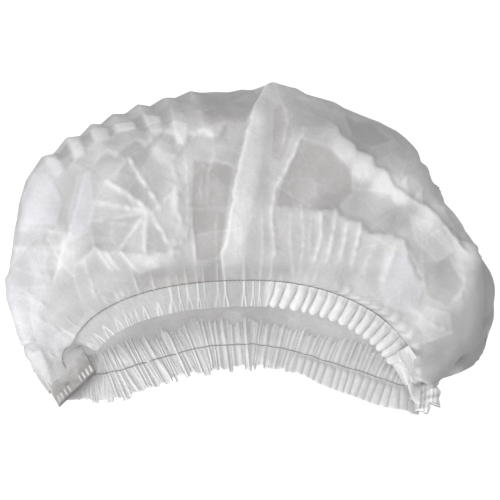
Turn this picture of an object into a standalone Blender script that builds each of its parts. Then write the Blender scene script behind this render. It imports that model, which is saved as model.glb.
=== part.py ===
"""Disposable hair cover cap: a pleated crown, two gathered hems, two elastics and two welded tabs.

The cap lies on its back wall with the mouth towards -Y, puffed open. X runs from the left tab to
the right tab, Y runs away from the mouth and Z is up. Metres throughout. The origin goes to the
bottom centre at the end.
"""
import math

import bmesh
import bpy
import numpy as np
from mathutils import Vector

# Crown: how far the puffed cloth reaches, measured from the floor point between the tabs.
CROWN_DEPTH = 0.159
CROWN_HEIGHT = 0.095
LOBE_LEFT = 0.031
LOBE_RIGHT = 0.042

# Mouth: the tabs' roots, and the middle of the front and back rims.
MOUTH_LEFT = 0.101
MOUTH_RIGHT = 0.092
MOUTH_RISE = 0.042
FRONT_SETBACK = 0.048
BACK_SETBACK = 0.034

# Cloth, as thick as the collision model allows, and the clearance kept between touching pieces.
CLOTH_WALL = 0.001
GAP = 0.0003

# Lengthwise pleats of the strip, and the small waves that the gathering leaves along each pleat's
# crest.
PLEAT_PITCH = 0.053
PLEAT_DEPTH = 0.009
CREST_PITCH = 0.014
CREST_SWAY = 0.0030
CREST_HEIGHT = 0.0014

# Hems: doubled cloth on both sides of the elastic, gathered by it.
HEM_REACH = 0.015
FLAP_REACH = 0.011
FLAP_LEAST = 0.08
GATHER_PITCH = 0.0056
GATHER_DEPTH = 0.0026
ELASTIC_DIAMETER = 0.001

# Tabs: the strip's two ends, welded across.
TAB_LENGTH = 0.012
WELD_PITCH = 0.0024
WELD_RELIEF = 0.0004


# Each tab. Depth: its root's place, as a share of CROWN_DEPTH. Crown side: its reach there from its
# root, as a share of HEM_REACH, which is its reach on the rims' side. Edge: the direction along the
# welded end towards the rims, in degrees. Headings and runs: how the front rim, the crown's middle
# and the back rim leave the root, in degrees and in metres for the whole way across. Layers: of
# cloth. Over hem: the back hem runs underneath, or else only the crown's back wall.
TABS = {
    "left": {
        "depth": 0.074, "crown_side": 1.0, "edge": 49.0, "headings": (119.0, 119.0, 119.0),
        "runs": (0.25, 0.12, 0.0), "layers": 2, "over_hem": True,
    },
    "right": {
        "depth": 0.012, "crown_side": 0.67, "edge": -94.0, "headings": (168.0, 110.0, 168.0),
        "runs": (0.12, 0.28, 0.12), "layers": 4, "over_hem": False,
    },
}

# Sections of the crown round its middle, from the front rim over the top to the back rim. Each row
# gives the depth, height and lobes as shares of their named sizes, the pleat's share of
# PLEAT_DEPTH, and the power of the arc on either side (a smaller one is fuller). The two rims take
# their places from the mouth's own sizes.
SECTION_COLUMNS = ("depth", "height", "lobe_left", "lobe_right", "pleat", "power_left", "power_right")
SECTIONS = (
    (0.40, 0.63, 0.36, 0.36, 0.50, 0.82, 0.88),
    (0.53, 0.82, 0.62, 0.56, 0.80, 0.84, 0.90),
    (0.68, 0.94, 0.87, 0.68, 1.00, 0.84, 0.92),
    (0.83, 0.96, 0.89, 0.62, 1.00, 0.85, 0.93),
    (0.95, 0.77, 0.89, 0.58, 1.00, 0.85, 0.93),
    (1.00, 0.51, 0.90, 0.64, 1.00, 0.86, 0.93),
    (0.98, 0.26, 1.00, 0.88, 0.80, 0.90, 0.95),
    (0.87, 0.06, 1.00, 0.94, 0.50, 0.92, 0.96),
    (0.67, 0.00, 0.92, 0.92, 0.20, 0.92, 0.96),
    (0.44, 0.00, 0.66, 0.74, 0.10, 0.92, 0.96),
)
RIM_POWERS = {"front": (0.85, 1.00), "back": (1.70, 1.45)}

# Main dents of the puffed crown. Along and across: shares of the way from tab to tab, and from rim
# to rim, and the reach in the same shares. The depth, inward, is a share of PLEAT_DEPTH.
DENT_COLUMNS = ("along", "across", "reach_along", "reach_across", "depth")
DENTS = (
    (0.70, 0.42, 0.06, 0.30, 1.30),
    (0.31, 0.25, 0.06, 0.08, 0.90),
    (0.52, 0.20, 0.03, 0.14, 0.60),
    (0.84, 0.40, 0.05, 0.30, -0.80),
)

# Shares of the way across within which the crown is gathered into a tab, and its pleats fade out.
ROOT_BLEND = 0.10
PLEAT_FADE = 0.14

PLEAT_ROWS = 4
FINE = 400

CLOTH_COLOUR = (0.80, 0.80, 0.80)
CLOTH_ROUGHNESS = 0.85
THREAD_COLOUR = (0.25, 0.24, 0.23)
THREAD_ROUGHNESS = 0.6


def smooth(x):
    """Eases from 0 to 1."""
    x = np.clip(x, 0.0, 1.0)
    return x * x * (3 - 2 * x)


def section_table():
    """The section rows in metres, with the rims' rows at either end."""
    rows = [(FRONT_SETBACK, MOUTH_RISE, 0.0, 0.0, 0.0) + RIM_POWERS["front"]]
    rows += [(row[0] * CROWN_DEPTH, row[1] * CROWN_HEIGHT) + row[2:] for row in SECTIONS]
    rows.append((BACK_SETBACK, 0.0, 0.0, 0.0, 0.0) + RIM_POWERS["back"])
    table = np.array(rows)
    table[:, 2] *= LOBE_LEFT
    table[:, 3] *= LOBE_RIGHT
    return table


def through_rows(table, v):
    """A smooth (Catmull-Rom) curve through the rows of a table, at shares v from its first to its last."""
    last = len(table) - 1
    place = np.clip(v, 0.0, 1.0) * last
    row = np.minimum(place.astype(int), last - 1)
    f = (place - row)[..., None]
    p0, p1, p2, p3 = (table[np.clip(row + k, 0, last)] for k in (-1, 0, 1, 2))
    slope, bend, twist = p2 - p0, 2 * p0 - 5 * p1 + 4 * p2 - p3, 3 * p1 - p0 - 3 * p2 + p3
    return 0.5 * (2 * p1 + slope * f + bend * f**2 + twist * f**3)


def through_three(values, v):
    """A parabola through a first, a middle and a last value."""
    first, middle, last = values
    return first * (1 - v) * (1 - 2 * v) + 4 * middle * v * (1 - v) + last * v * (2 * v - 1)


def evened(points, shares):
    """Turns even shares of the length of a line of points into shares of its own parameter."""
    steps = np.linalg.norm(np.diff(points, axis=0), axis=1)
    along = np.concatenate([[0.0], np.cumsum(steps)])
    return np.interp(shares * along[-1], along, np.linspace(0.0, 1.0, len(points))), along[-1]


TABLE = section_table()
FINE_SHARES = np.linspace(0.0, 1.0, FINE)
SECTION_ARC = evened(through_rows(TABLE, FINE_SHARES)[:, :2], FINE_SHARES)[1]


def level(degrees):
    """Unit vectors on the floor, from their directions in degrees."""
    turn = np.radians(degrees)
    return np.stack([np.cos(turn), np.sin(turn), np.zeros_like(turn)], axis=-1)


def tab_frame(side):
    """A tab's root point, its heading into the crown and its width direction, all on the floor."""
    half = -MOUTH_LEFT if side == "left" else MOUTH_RIGHT
    root = np.array([half, TABS[side]["depth"] * CROWN_DEPTH, 0.0])
    return root, level(TABS[side]["headings"][0]), level(TABS[side]["edge"])


def tab_heights(side):
    """The heights of a tab's underside and top."""
    layers = TABS[side]["layers"]
    under = CLOTH_WALL + GAP
    if TABS[side]["over_hem"]:
        under = 2 * under + GATHER_DEPTH
    return under, under + layers * CLOTH_WALL + (layers - 1) * GAP


def slot(side, v):
    """The crown's outer face at a tab's root: a flat loop from the front rim round to the back rim."""
    root, _, width = tab_frame(side)
    bend = tab_heights(side)[1] / 2
    flat = HEM_REACH * TABS[side]["crown_side"] - bend
    at = v * (2 * flat + math.pi * bend)
    turn = np.clip((at - flat) / bend, 0.0, math.pi)
    across = -np.where(at < flat, at, np.where(turn < math.pi, flat, 2 * flat + math.pi * bend - at))
    across = across - bend * np.sin(turn)
    up = bend * (1 + np.cos(turn))
    return root + across[..., None] * width + up[..., None] * np.array([0.0, 0.0, 1.0])


def puffed(t, v):
    """The crown without its pleats: an arc from tab to tab through each point of the section.

    t goes from 0 to 1 along each arc. It starts below the arc's widest point, so that the cloth
    swings out into a lobe beside the tab before it crosses over.
    """
    row = through_rows(TABLE, v)
    roots = {side: tab_frame(side)[0] for side in TABS}
    half_left, half_right = MOUTH_LEFT + row[..., 2], MOUTH_RIGHT + row[..., 3]
    start = np.arccos(np.clip(MOUTH_LEFT / half_left, -1, 1))
    end = np.arccos(np.clip(MOUTH_RIGHT / half_right, -1, 1))
    angle = -start + t * (math.pi + start + end)
    left = angle < math.pi / 2
    power = np.where(left, row[..., 5], row[..., 6])
    sine, cosine = np.sin(angle), np.cos(angle)
    above = sine > 0
    rise = np.where(above, np.abs(sine) ** power, sine)
    span = np.sign(cosine) * np.where(above, np.abs(cosine) ** power, np.abs(cosine))
    dip = np.where(left, np.sin(start), np.sin(end))
    share = (rise + dip) / (1 + dip)
    way = smooth(t)
    foot = roots["left"][1] * (1 - way) + roots["right"][1] * way
    x = -np.where(left, half_left, half_right) * span
    y = foot + (row[..., 0] - foot) * share
    bottom = np.where(left, slot("left", v)[..., 2], slot("right", v)[..., 2])
    z = bottom + (row[..., 1] - bottom) * share
    return np.stack([x, y, z], axis=-1)


def body(t, v):
    """The puffed crown, gathered into the flat slots at the two tabs."""
    points = puffed(t, v)
    for side, away in (("left", t), ("right", 1 - t)):
        run, heading = (through_three(TABS[side][key], v) for key in ("runs", "headings"))
        lane = slot(side, v) + (away * run)[..., None] * level(heading)
        ease = smooth(away / ROOT_BLEND)[..., None]
        points = points * ease + lane * (1 - ease)
    return points


def directions(shape, t, v, step=1e-4):
    """Unit vectors of a surface along it, across it and outwards, from small differences."""
    t0, t1 = np.clip(t - step, 0, 1), np.clip(t + step, 0, 1)
    v0, v1 = np.clip(v - step, 0, 1), np.clip(v + step, 0, 1)
    along = (shape(t1, v) - shape(t0, v)) / (t1 - t0)[..., None]
    across = (shape(t, v1) - shape(t, v0)) / (v1 - v0)[..., None]
    along /= np.linalg.norm(along, axis=-1, keepdims=True)
    across -= along * np.sum(along * across, axis=-1, keepdims=True)
    across /= np.linalg.norm(across, axis=-1, keepdims=True)
    return along, across, np.cross(along, across)


def saw(x):
    """A triangular wave: 1 at whole numbers, -1 halfway between them."""
    return 4 * np.abs(x - np.floor(x) - 0.5) - 1


def on_floor(points, lowest=0.0):
    """Cloth that would reach through the floor lies flat on it."""
    points[..., 2] = np.maximum(points[..., 2], lowest)
    return points


def new_cloth(name, points, faces):
    """An open sheet of cloth."""
    mesh = bpy.data.meshes.new(name)
    mesh.from_pydata(points.reshape(-1, 3), [], faces)
    mesh.update()
    obj = bpy.data.objects.new(name, mesh)
    PARTS.objects.link(obj)
    dress(obj, CLOTH_COLOUR, CLOTH_ROUGHNESS)
    return obj


def dress(obj, colour, roughness):
    """Gives an object its Principled material."""
    material = bpy.data.materials.new(obj.name)
    material.use_nodes = True
    shader = material.node_tree.nodes["Principled BSDF"]
    shader.inputs["Base Color"].default_value = (*colour, 1.0)
    shader.inputs["Roughness"].default_value = roughness
    shader.inputs["Metallic"].default_value = 0.0
    obj.data.materials.append(material)


def grid_faces(columns, rows):
    """Quads of a grid whose vertices run along each row of columns in turn."""
    i, j = np.meshgrid(np.arange(columns - 1), np.arange(rows - 1), indexing="ij")
    a = (j * columns + i).ravel()
    return np.stack([a, a + 1, a + columns + 1, a + columns], axis=1).tolist()


def wall(obj):
    """Thickens an open sheet inwards, so that it stays the outer face, and presses it flat on the floor."""
    solidify = obj.modifiers.new("cloth", "SOLIDIFY")
    solidify.thickness = CLOTH_WALL
    solidify.offset = -1.0
    solidify.use_rim = True
    graph = bpy.context.evaluated_depsgraph_get()
    thick = bpy.data.meshes.new_from_object(obj.evaluated_get(graph))
    obj.modifiers.clear()
    obj.data = thick
    for vertex in thick.vertices:
        vertex.co.z = max(vertex.co.z, 0.0)


def make_crown():
    """The crown: the puffed body with lengthwise pleats whose crests sway and rise with the gathering."""
    pleats = max(3, round(SECTION_ARC / PLEAT_PITCH))
    crest = body(FINE_SHARES, np.full(FINE, 0.45))
    waves = round(evened(crest, FINE_SHARES)[1] / CREST_PITCH)
    columns, rows = 2 * waves + 1, PLEAT_ROWS * pleats + 1
    t_even = evened(crest, np.linspace(0, 1, columns))[0]
    share, column = np.linspace(0, 1, rows)[:, None], np.arange(columns)[None, :]
    t = np.broadcast_to(t_even[None, :], (rows, columns))
    fade_t = smooth(t / PLEAT_FADE) * smooth((1 - t) / PLEAT_FADE)
    from_rim = np.minimum(share, 1 - share) * SECTION_ARC - FLAP_REACH
    fade_v = smooth(from_rim / (PLEAT_PITCH / 2))
    turn = np.where(column % 2 == 0, 1.0, -1.0)
    crest_share = saw(share * pleats - 0.5)
    sway = CREST_SWAY / SECTION_ARC * turn * crest_share * fade_t * fade_v
    v = evened(through_rows(TABLE, FINE_SHARES)[:, :2], np.clip(share + sway, 0, 1))[0]
    base = body(t, v)
    outward = directions(body, t, v)[2]
    depth = PLEAT_DEPTH / 2 * through_rows(TABLE, v)[..., 4] * crest_share
    depth = depth + CREST_HEIGHT * turn * (0.5 + 0.5 * crest_share)
    for along, across, reach_along, reach_across, dent in DENTS:
        near = np.exp(-(((t - along) / reach_along) ** 2) - ((share - across) / reach_across) ** 2)
        depth = depth - PLEAT_DEPTH * dent * near
    points = base + outward * (depth * fade_t * fade_v)[..., None]
    points = on_floor(points, CLOTH_WALL * np.clip(1 + outward[..., 2], 0, 1))
    wall(new_cloth("crown", points, grid_faces(columns, rows)))


def tab_fade(shares):
    """0 at the tabs and 1 away from them."""
    return smooth(shares / ROOT_BLEND) * smooth((1 - shares) / ROOT_BLEND)


def rim(which, shares, reach=0.0):
    """A rim at even shares of its length, or a line on the crown at a reach from it.

    Gives the points, the directions of the hem's free side and outwards, and the rim's length.
    """
    start, way = (0.0, 1.0) if which == "front" else (1.0, -1.0)
    t, length = evened(body(FINE_SHARES, np.full(FINE, start)), shares)
    near = start + way * np.linspace(0, 0.5, FINE)
    v = np.full_like(t, start)
    for k, place in enumerate(t):
        section = body(np.full(FINE, place), near)
        steps = np.linalg.norm(np.diff(section, axis=0), axis=1)
        narrowed = reach * FLAP_LEAST ** (1 - tab_fade(shares[k]))
        v[k] = np.interp(narrowed, np.concatenate([[0.0], np.cumsum(steps)]), near)
    across, outward = directions(body, t, v)[1:]
    free = -way * across
    for side, away in (("left", shares), ("right", 1 - shares)):
        if which == "front" or not TABS[side]["over_hem"]:
            ease = smooth(away / ROOT_BLEND)[:, None]
            free = free * ease + tab_frame(side)[2] * (1 - ease)
    return body(t, v), free, outward, length


def make_hem(which):
    """A hem: a band of cloth inside the crown's edge, gathered by the elastic into a ruffle at both edges."""
    gathers = round(rim(which, FINE_SHARES)[3] / GATHER_PITCH)
    columns = 2 * gathers + 1
    shares = np.linspace(0, 1, columns)
    line, free, outward, _ = rim(which, shares)
    fade = tab_fade(shares)
    fold_in = np.arange(columns) % 2 == 0
    rows = []
    seat = -CLOTH_WALL - GAP * (3 - 2 * fade)
    dip = seat * 0.9 if which == "back" else -GATHER_DEPTH / 2
    for reach, share in ((HEM_REACH, 1.0), (HEM_REACH / 2, 0.6), (0.0, 0.0)):
        rise = np.where(fold_in, GATHER_DEPTH, dip) * share * fade
        rows.append(line + free * reach + outward * (seat - rise)[:, None])
    line, free, outward, _ = rim(which, shares, FLAP_REACH)
    rows.append(line + outward * (seat - np.where(fold_in, GATHER_DEPTH, 0.0) * fade)[:, None])
    ruffled = smooth((1 - shares) / ROOT_BLEND)
    lowest = 3 * CLOTH_WALL + 4 * GAP + (GATHER_DEPTH - 2 * GAP) * ruffled
    points = on_floor(np.array(rows), lowest if which == "front" else 0.0)
    faces = grid_faces(columns, len(rows))
    if which == "back":
        faces = [face[::-1] for face in faces]
    wall(new_cloth(which + "_hem", points, faces))


def make_elastic(which):
    """The elastic: a round thread in the corner between the crown's edge and the hem."""
    count = round(rim(which, FINE_SHARES)[3] / (GATHER_PITCH * 0.9))
    inset = GAP / rim(which, FINE_SHARES)[3]
    shares = np.linspace(inset, 1 - inset, count)
    line, free, outward, _ = rim(which, shares)
    clear = GAP * (5 - 4 * tab_fade(shares))[:, None] + ELASTIC_DIAMETER / 2
    path = line + free * clear - outward * (CLOTH_WALL - ELASTIC_DIAMETER / 2)
    curve = bpy.data.curves.new(which + "_elastic", "CURVE")
    curve.dimensions = "3D"
    curve.bevel_depth = ELASTIC_DIAMETER / 2
    curve.bevel_resolution = 1
    curve.use_fill_caps = True
    spline = curve.splines.new("POLY")
    spline.points.add(count - 1)
    for point, place in zip(spline.points, path):
        point.co = (*place, 1.0)
    thread = bpy.data.objects.new(which + "_elastic", curve)
    PARTS.objects.link(thread)
    dress(thread, THREAD_COLOUR, THREAD_ROUGHNESS)


def make_tab(side):
    """A tab: the strip's stacked pleats welded into a flat bar, ribbed by the weld on both faces."""
    root, heading, width = tab_frame(side)
    crown_side = HEM_REACH * TABS[side]["crown_side"]
    ribs = round((crown_side + HEM_REACH) / WELD_PITCH)
    edges = np.linspace(-crown_side, HEM_REACH, 2 * ribs + 1)
    groove = np.where(np.arange(2 * ribs + 1) % 2 == 0, WELD_RELIEF, 0.0)
    under, top = tab_heights(side)
    outline = [(x, top - g) for x, g in zip(edges, groove)]
    outline += [(x, under) for x in edges[::-1]]
    near, far = [], []
    for x, z in outline:
        place = root + width * x
        near.append((place - heading * 2 * GAP)[:2].tolist() + [z])
        far.append((place - heading * (2 * GAP + TAB_LENGTH))[:2].tolist() + [z])
    mesh = bmesh.new()
    first = [mesh.verts.new(p) for p in near]
    last = [mesh.verts.new(p) for p in far]
    mesh.faces.new(first)
    mesh.faces.new(last[::-1])
    for k in range(len(first)):
        n = (k + 1) % len(first)
        mesh.faces.new((first[k], last[k], last[n], first[n]))
    bmesh.ops.recalc_face_normals(mesh, faces=mesh.faces)
    data = bpy.data.meshes.new(side + "_tab")
    mesh.to_mesh(data)
    mesh.free()
    tab = bpy.data.objects.new(side + "_tab", data)
    PARTS.objects.link(tab)
    dress(tab, CLOTH_COLOUR, CLOTH_ROUGHNESS)


for old in list(bpy.data.objects):
    bpy.data.objects.remove(old)
PARTS = bpy.data.collections.new("hair_cover_cap")
bpy.context.scene.collection.children.link(PARTS)

make_crown()
for rim_name in ("front", "back"):
    make_hem(rim_name)
    make_elastic(rim_name)
for tab_side in TABS:
    make_tab(tab_side)

bpy.context.view_layer.update()
corners = np.array([obj.matrix_world @ Vector(corner) for obj in PARTS.objects for corner in obj.bound_box])
low, high = corners.min(axis=0), corners.max(axis=0)
for obj in PARTS.objects:
    obj.location = (-(low[0] + high[0]) / 2, -(low[1] + high[1]) / 2, -low[2])
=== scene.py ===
# %% [markdown]
# # A disposable hair cover cap
# The cap is one strip of thin non-woven cloth, pleated lengthwise. An elastic runs in a folded hem
# along each long edge and gathers it, and the strip's two ends are welded flat into tabs. Opened by
# hand and laid down, the cloth puffs into a bonnet whose mouth faces the viewer.
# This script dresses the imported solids: each cloth piece is drawn again as a thin, finely folded
# surface in the place of its solid, and it gets a material with fibres, bond points and translucency.

# %% The frame
import math

import bpy
import numpy as np
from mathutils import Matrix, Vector


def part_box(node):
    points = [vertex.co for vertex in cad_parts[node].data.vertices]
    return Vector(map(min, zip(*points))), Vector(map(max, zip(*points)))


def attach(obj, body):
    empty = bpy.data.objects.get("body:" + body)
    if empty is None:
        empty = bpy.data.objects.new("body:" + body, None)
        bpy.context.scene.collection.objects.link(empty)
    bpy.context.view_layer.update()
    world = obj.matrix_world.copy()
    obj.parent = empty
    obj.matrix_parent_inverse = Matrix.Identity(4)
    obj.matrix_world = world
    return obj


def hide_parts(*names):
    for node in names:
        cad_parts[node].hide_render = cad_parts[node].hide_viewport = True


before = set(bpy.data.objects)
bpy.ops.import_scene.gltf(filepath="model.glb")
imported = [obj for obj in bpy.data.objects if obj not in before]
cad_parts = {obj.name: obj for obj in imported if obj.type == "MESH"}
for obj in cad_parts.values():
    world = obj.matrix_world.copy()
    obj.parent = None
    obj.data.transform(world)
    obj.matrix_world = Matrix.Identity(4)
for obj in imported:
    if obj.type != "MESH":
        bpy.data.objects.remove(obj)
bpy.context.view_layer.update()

for name in sorted(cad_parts):
    low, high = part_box(name)
    print(name, [round(1000 * (b - a), 1) for a, b in zip(low, high)], "mm")

# %% [markdown]
# ## Camera, floor and light
# The cap lies on its back wall and is seen from 55 degrees above the floor with a very long lens,
# which hardly shows perspective. The floor is a plain white that the camera sees as it is, and it
# sends no light back into the cloth, so the right side may fall into shade as on the real one.

# %% Camera
SHIFT = np.array([-0.0007191, -0.0719277, 0.0])
ELEVATION = math.radians(55.0)
PIXEL = 0.00055
BACK = np.array([0.0, -math.cos(ELEVATION), math.sin(ELEVATION)])
UP = np.array([0.0, math.sin(ELEVATION), math.cos(ELEVATION)])
LENS, SENSOR = 400.0, 36.0
AIM = np.array([-2 * PIXEL, 0.0764, 0.0300]) + SHIFT


def seen(points):
    """Where points stand in the view, in cells of 0.55 mm: to the right of, and down from, a corner.

    Right is X. Down is the opposite of the camera's own up direction. The corner is the picture's
    top left, 252 cells left of the middle between the tabs, and 395 up from the floor there.
    """
    local = points - SHIFT
    return np.stack([252 + local[..., 0] / PIXEL, 395 - (local @ UP) / PIXEL], axis=-1)


distance = 250 * PIXEL * LENS / (SENSOR / 2)
camera = bpy.data.objects.new("camera", bpy.data.cameras.new("camera"))
bpy.context.scene.collection.objects.link(camera)
bpy.context.scene.camera = camera
camera.data.lens, camera.data.sensor_width = LENS, SENSOR
camera.data.clip_start, camera.data.clip_end = 0.05, 50.0
camera.location = AIM + BACK * distance
camera.rotation_euler = (math.pi / 2 - ELEVATION, 0.0, 0.0)
print("camera stands", round(distance, 2), "m away")


# %% Floor, world and lamps
WORLD_LEVEL = 0.54
LAMPS_LOOK_AT = Vector((0.0, 0.0, 0.03))
LAMPS = {
    # name: (place, size, power)
    "key_from_left": ((-0.95, -0.35, 0.52), 0.5, 6.0),
    "top_soft": ((-0.25, -0.15, 1.25), 0.9, 1.6),
    "fill_low": ((-0.1, -1.0, 0.42), 0.6, 4.6),
}


def lamp(name, lamp_place, size, power):
    """A square soft box at a place, turned to the cap."""
    light = bpy.data.lights.new(name, "AREA")
    light.size, light.energy = size, power
    obj = bpy.data.objects.new(name, light)
    bpy.context.scene.collection.objects.link(obj)
    obj.location = lamp_place
    obj.rotation_euler = (LAMPS_LOOK_AT - Vector(lamp_place)).to_track_quat("-Z", "Y").to_euler()


for name, settings in LAMPS.items():
    lamp(name, *settings)

scene = bpy.context.scene
scene.view_settings.view_transform = "Standard"
world = bpy.data.worlds.new("studio")
scene.world = world
world.use_nodes = True
sky = world.node_tree
rays = sky.nodes.new("ShaderNodeLightPath")
level_mix = sky.nodes.new("ShaderNodeMix")
level_mix.inputs["A"].default_value = WORLD_LEVEL
level_mix.inputs["B"].default_value = 1.0
sky.links.new(rays.outputs["Is Camera Ray"], level_mix.inputs["Factor"])
sky.links.new(level_mix.outputs["Result"], sky.nodes["Background"].inputs["Strength"])
sky.nodes["Background"].inputs["Color"].default_value = (1.0, 1.0, 1.0, 1.0)

floor_mesh = bpy.data.meshes.new("floor")
half = 3.0
corners = [(-half, -half, 0), (half, -half, 0), (half, half, 0), (-half, half, 0)]
floor_mesh.from_pydata(corners, [], [(0, 1, 2, 3)])
floor = bpy.data.objects.new("floor", floor_mesh)
scene.collection.objects.link(floor)
floor.location.z = -0.0004
floor_paint = bpy.data.materials.new("floor_white")
floor_paint.use_nodes = True
paint = floor_paint.node_tree.nodes["Principled BSDF"]
paint.inputs["Base Color"].default_value = (0.1, 0.1, 0.1, 1.0)
paint.inputs["Roughness"].default_value = 0.9
paint.inputs["Specular IOR Level"].default_value = 0.0
paint.inputs["Emission Color"].default_value = (1.0, 1.0, 1.0, 1.0)
paint.inputs["Emission Strength"].default_value = 1.0
floor_mesh.materials.append(floor_paint)
floor.visible_diffuse = False
floor.visible_glossy = False
print("lamps and a white floor", 2 * half, "m wide")

# %% [markdown]
# ## Materials
# Non-woven cloth is a thin web of plastic fibres pressed together at small points. It is white only
# because it scatters light, so light also comes through it, and where fibres lie thicker, or two
# layers overlap, it is whiter. The material is a mix: a clear share where the web is open, a soft
# white surface, and a share that lets light through from behind. The cloudiness of the web, the
# bond points and fine fibres drive how clear it is and a shallow bump. Its colour also carries
# painted light and shade: the layers and tint attributes hold painted light and shade as well as
# folds, crease lines are whiter partly as a painted highlight, and white specks on bright folds are
# a painted sparkle.


# %% Nodes as expressions
class Web:
    """A node tree that is written as expressions."""

    def __init__(self, name):
        self.material = bpy.data.materials.new(name)
        self.material.use_nodes = True
        self.tree = self.material.node_tree
        self.tree.nodes.clear()

    def add(self, kind, settings=None, outlet=0, **inputs):
        """A node of a type, with its settings and the values or links of its sockets. Gives one outlet."""
        node = self.tree.nodes.new("ShaderNode" + kind)
        for key, value in (settings or {}).items():
            setattr(node, key, value)
        for key, value in inputs.items():
            socket = node.inputs[int(key[1:]) if key[1:].isdigit() else key.replace("_", " ")]
            if isinstance(value, Socket):
                self.tree.links.new(value.outlet, socket)
            else:
                socket.default_value = value
        return Socket(self, node.outputs[outlet])

    def finish(self, surface):
        """Sets the surface, and gives the material."""
        out = self.tree.nodes.new("ShaderNodeOutputMaterial")
        self.tree.links.new(surface.outlet, out.inputs["Surface"])
        return self.material


class Socket:
    """An outlet of a node, on which arithmetic adds Math nodes."""

    def __init__(self, web, outlet):
        self.web, self.outlet = web, outlet

    def maths(self, operation, *others, clamp=False):
        values = {"_%d" % k: value for k, value in enumerate((self,) + others)}
        return self.web.add("Math", {"operation": operation, "use_clamp": clamp}, **values)

    def __add__(self, other):
        return self.maths("ADD", other)

    def __mul__(self, other):
        return self.maths("MULTIPLY", other)

    def __sub__(self, other):
        return self.maths("SUBTRACT", other)

    def __rsub__(self, other):
        return self.web.add("Math", {"operation": "SUBTRACT"}, _0=other, _1=self)

    __radd__, __rmul__ = __add__, __mul__

    def between(self, low, high):
        """0 at low, 1 at high, and smooth in between."""
        settings = {"interpolation_type": "SMOOTHSTEP"}
        return self.web.add("MapRange", settings, Value=self, From_Min=low, From_Max=high)


print("nodes can be written as expressions")


# %% Non-woven cloth
# Flat panels between creases, as cells: cells in a metre, how much whiter a crease is, and how far
# the tones of two panels may differ. A crease is whiter partly as folded cloth and partly as a
# painted highlight along it.
CREASED_PANELS = ((30.0, 0.14, 0.24), (64.0, 0.10, 0.12))


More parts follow.
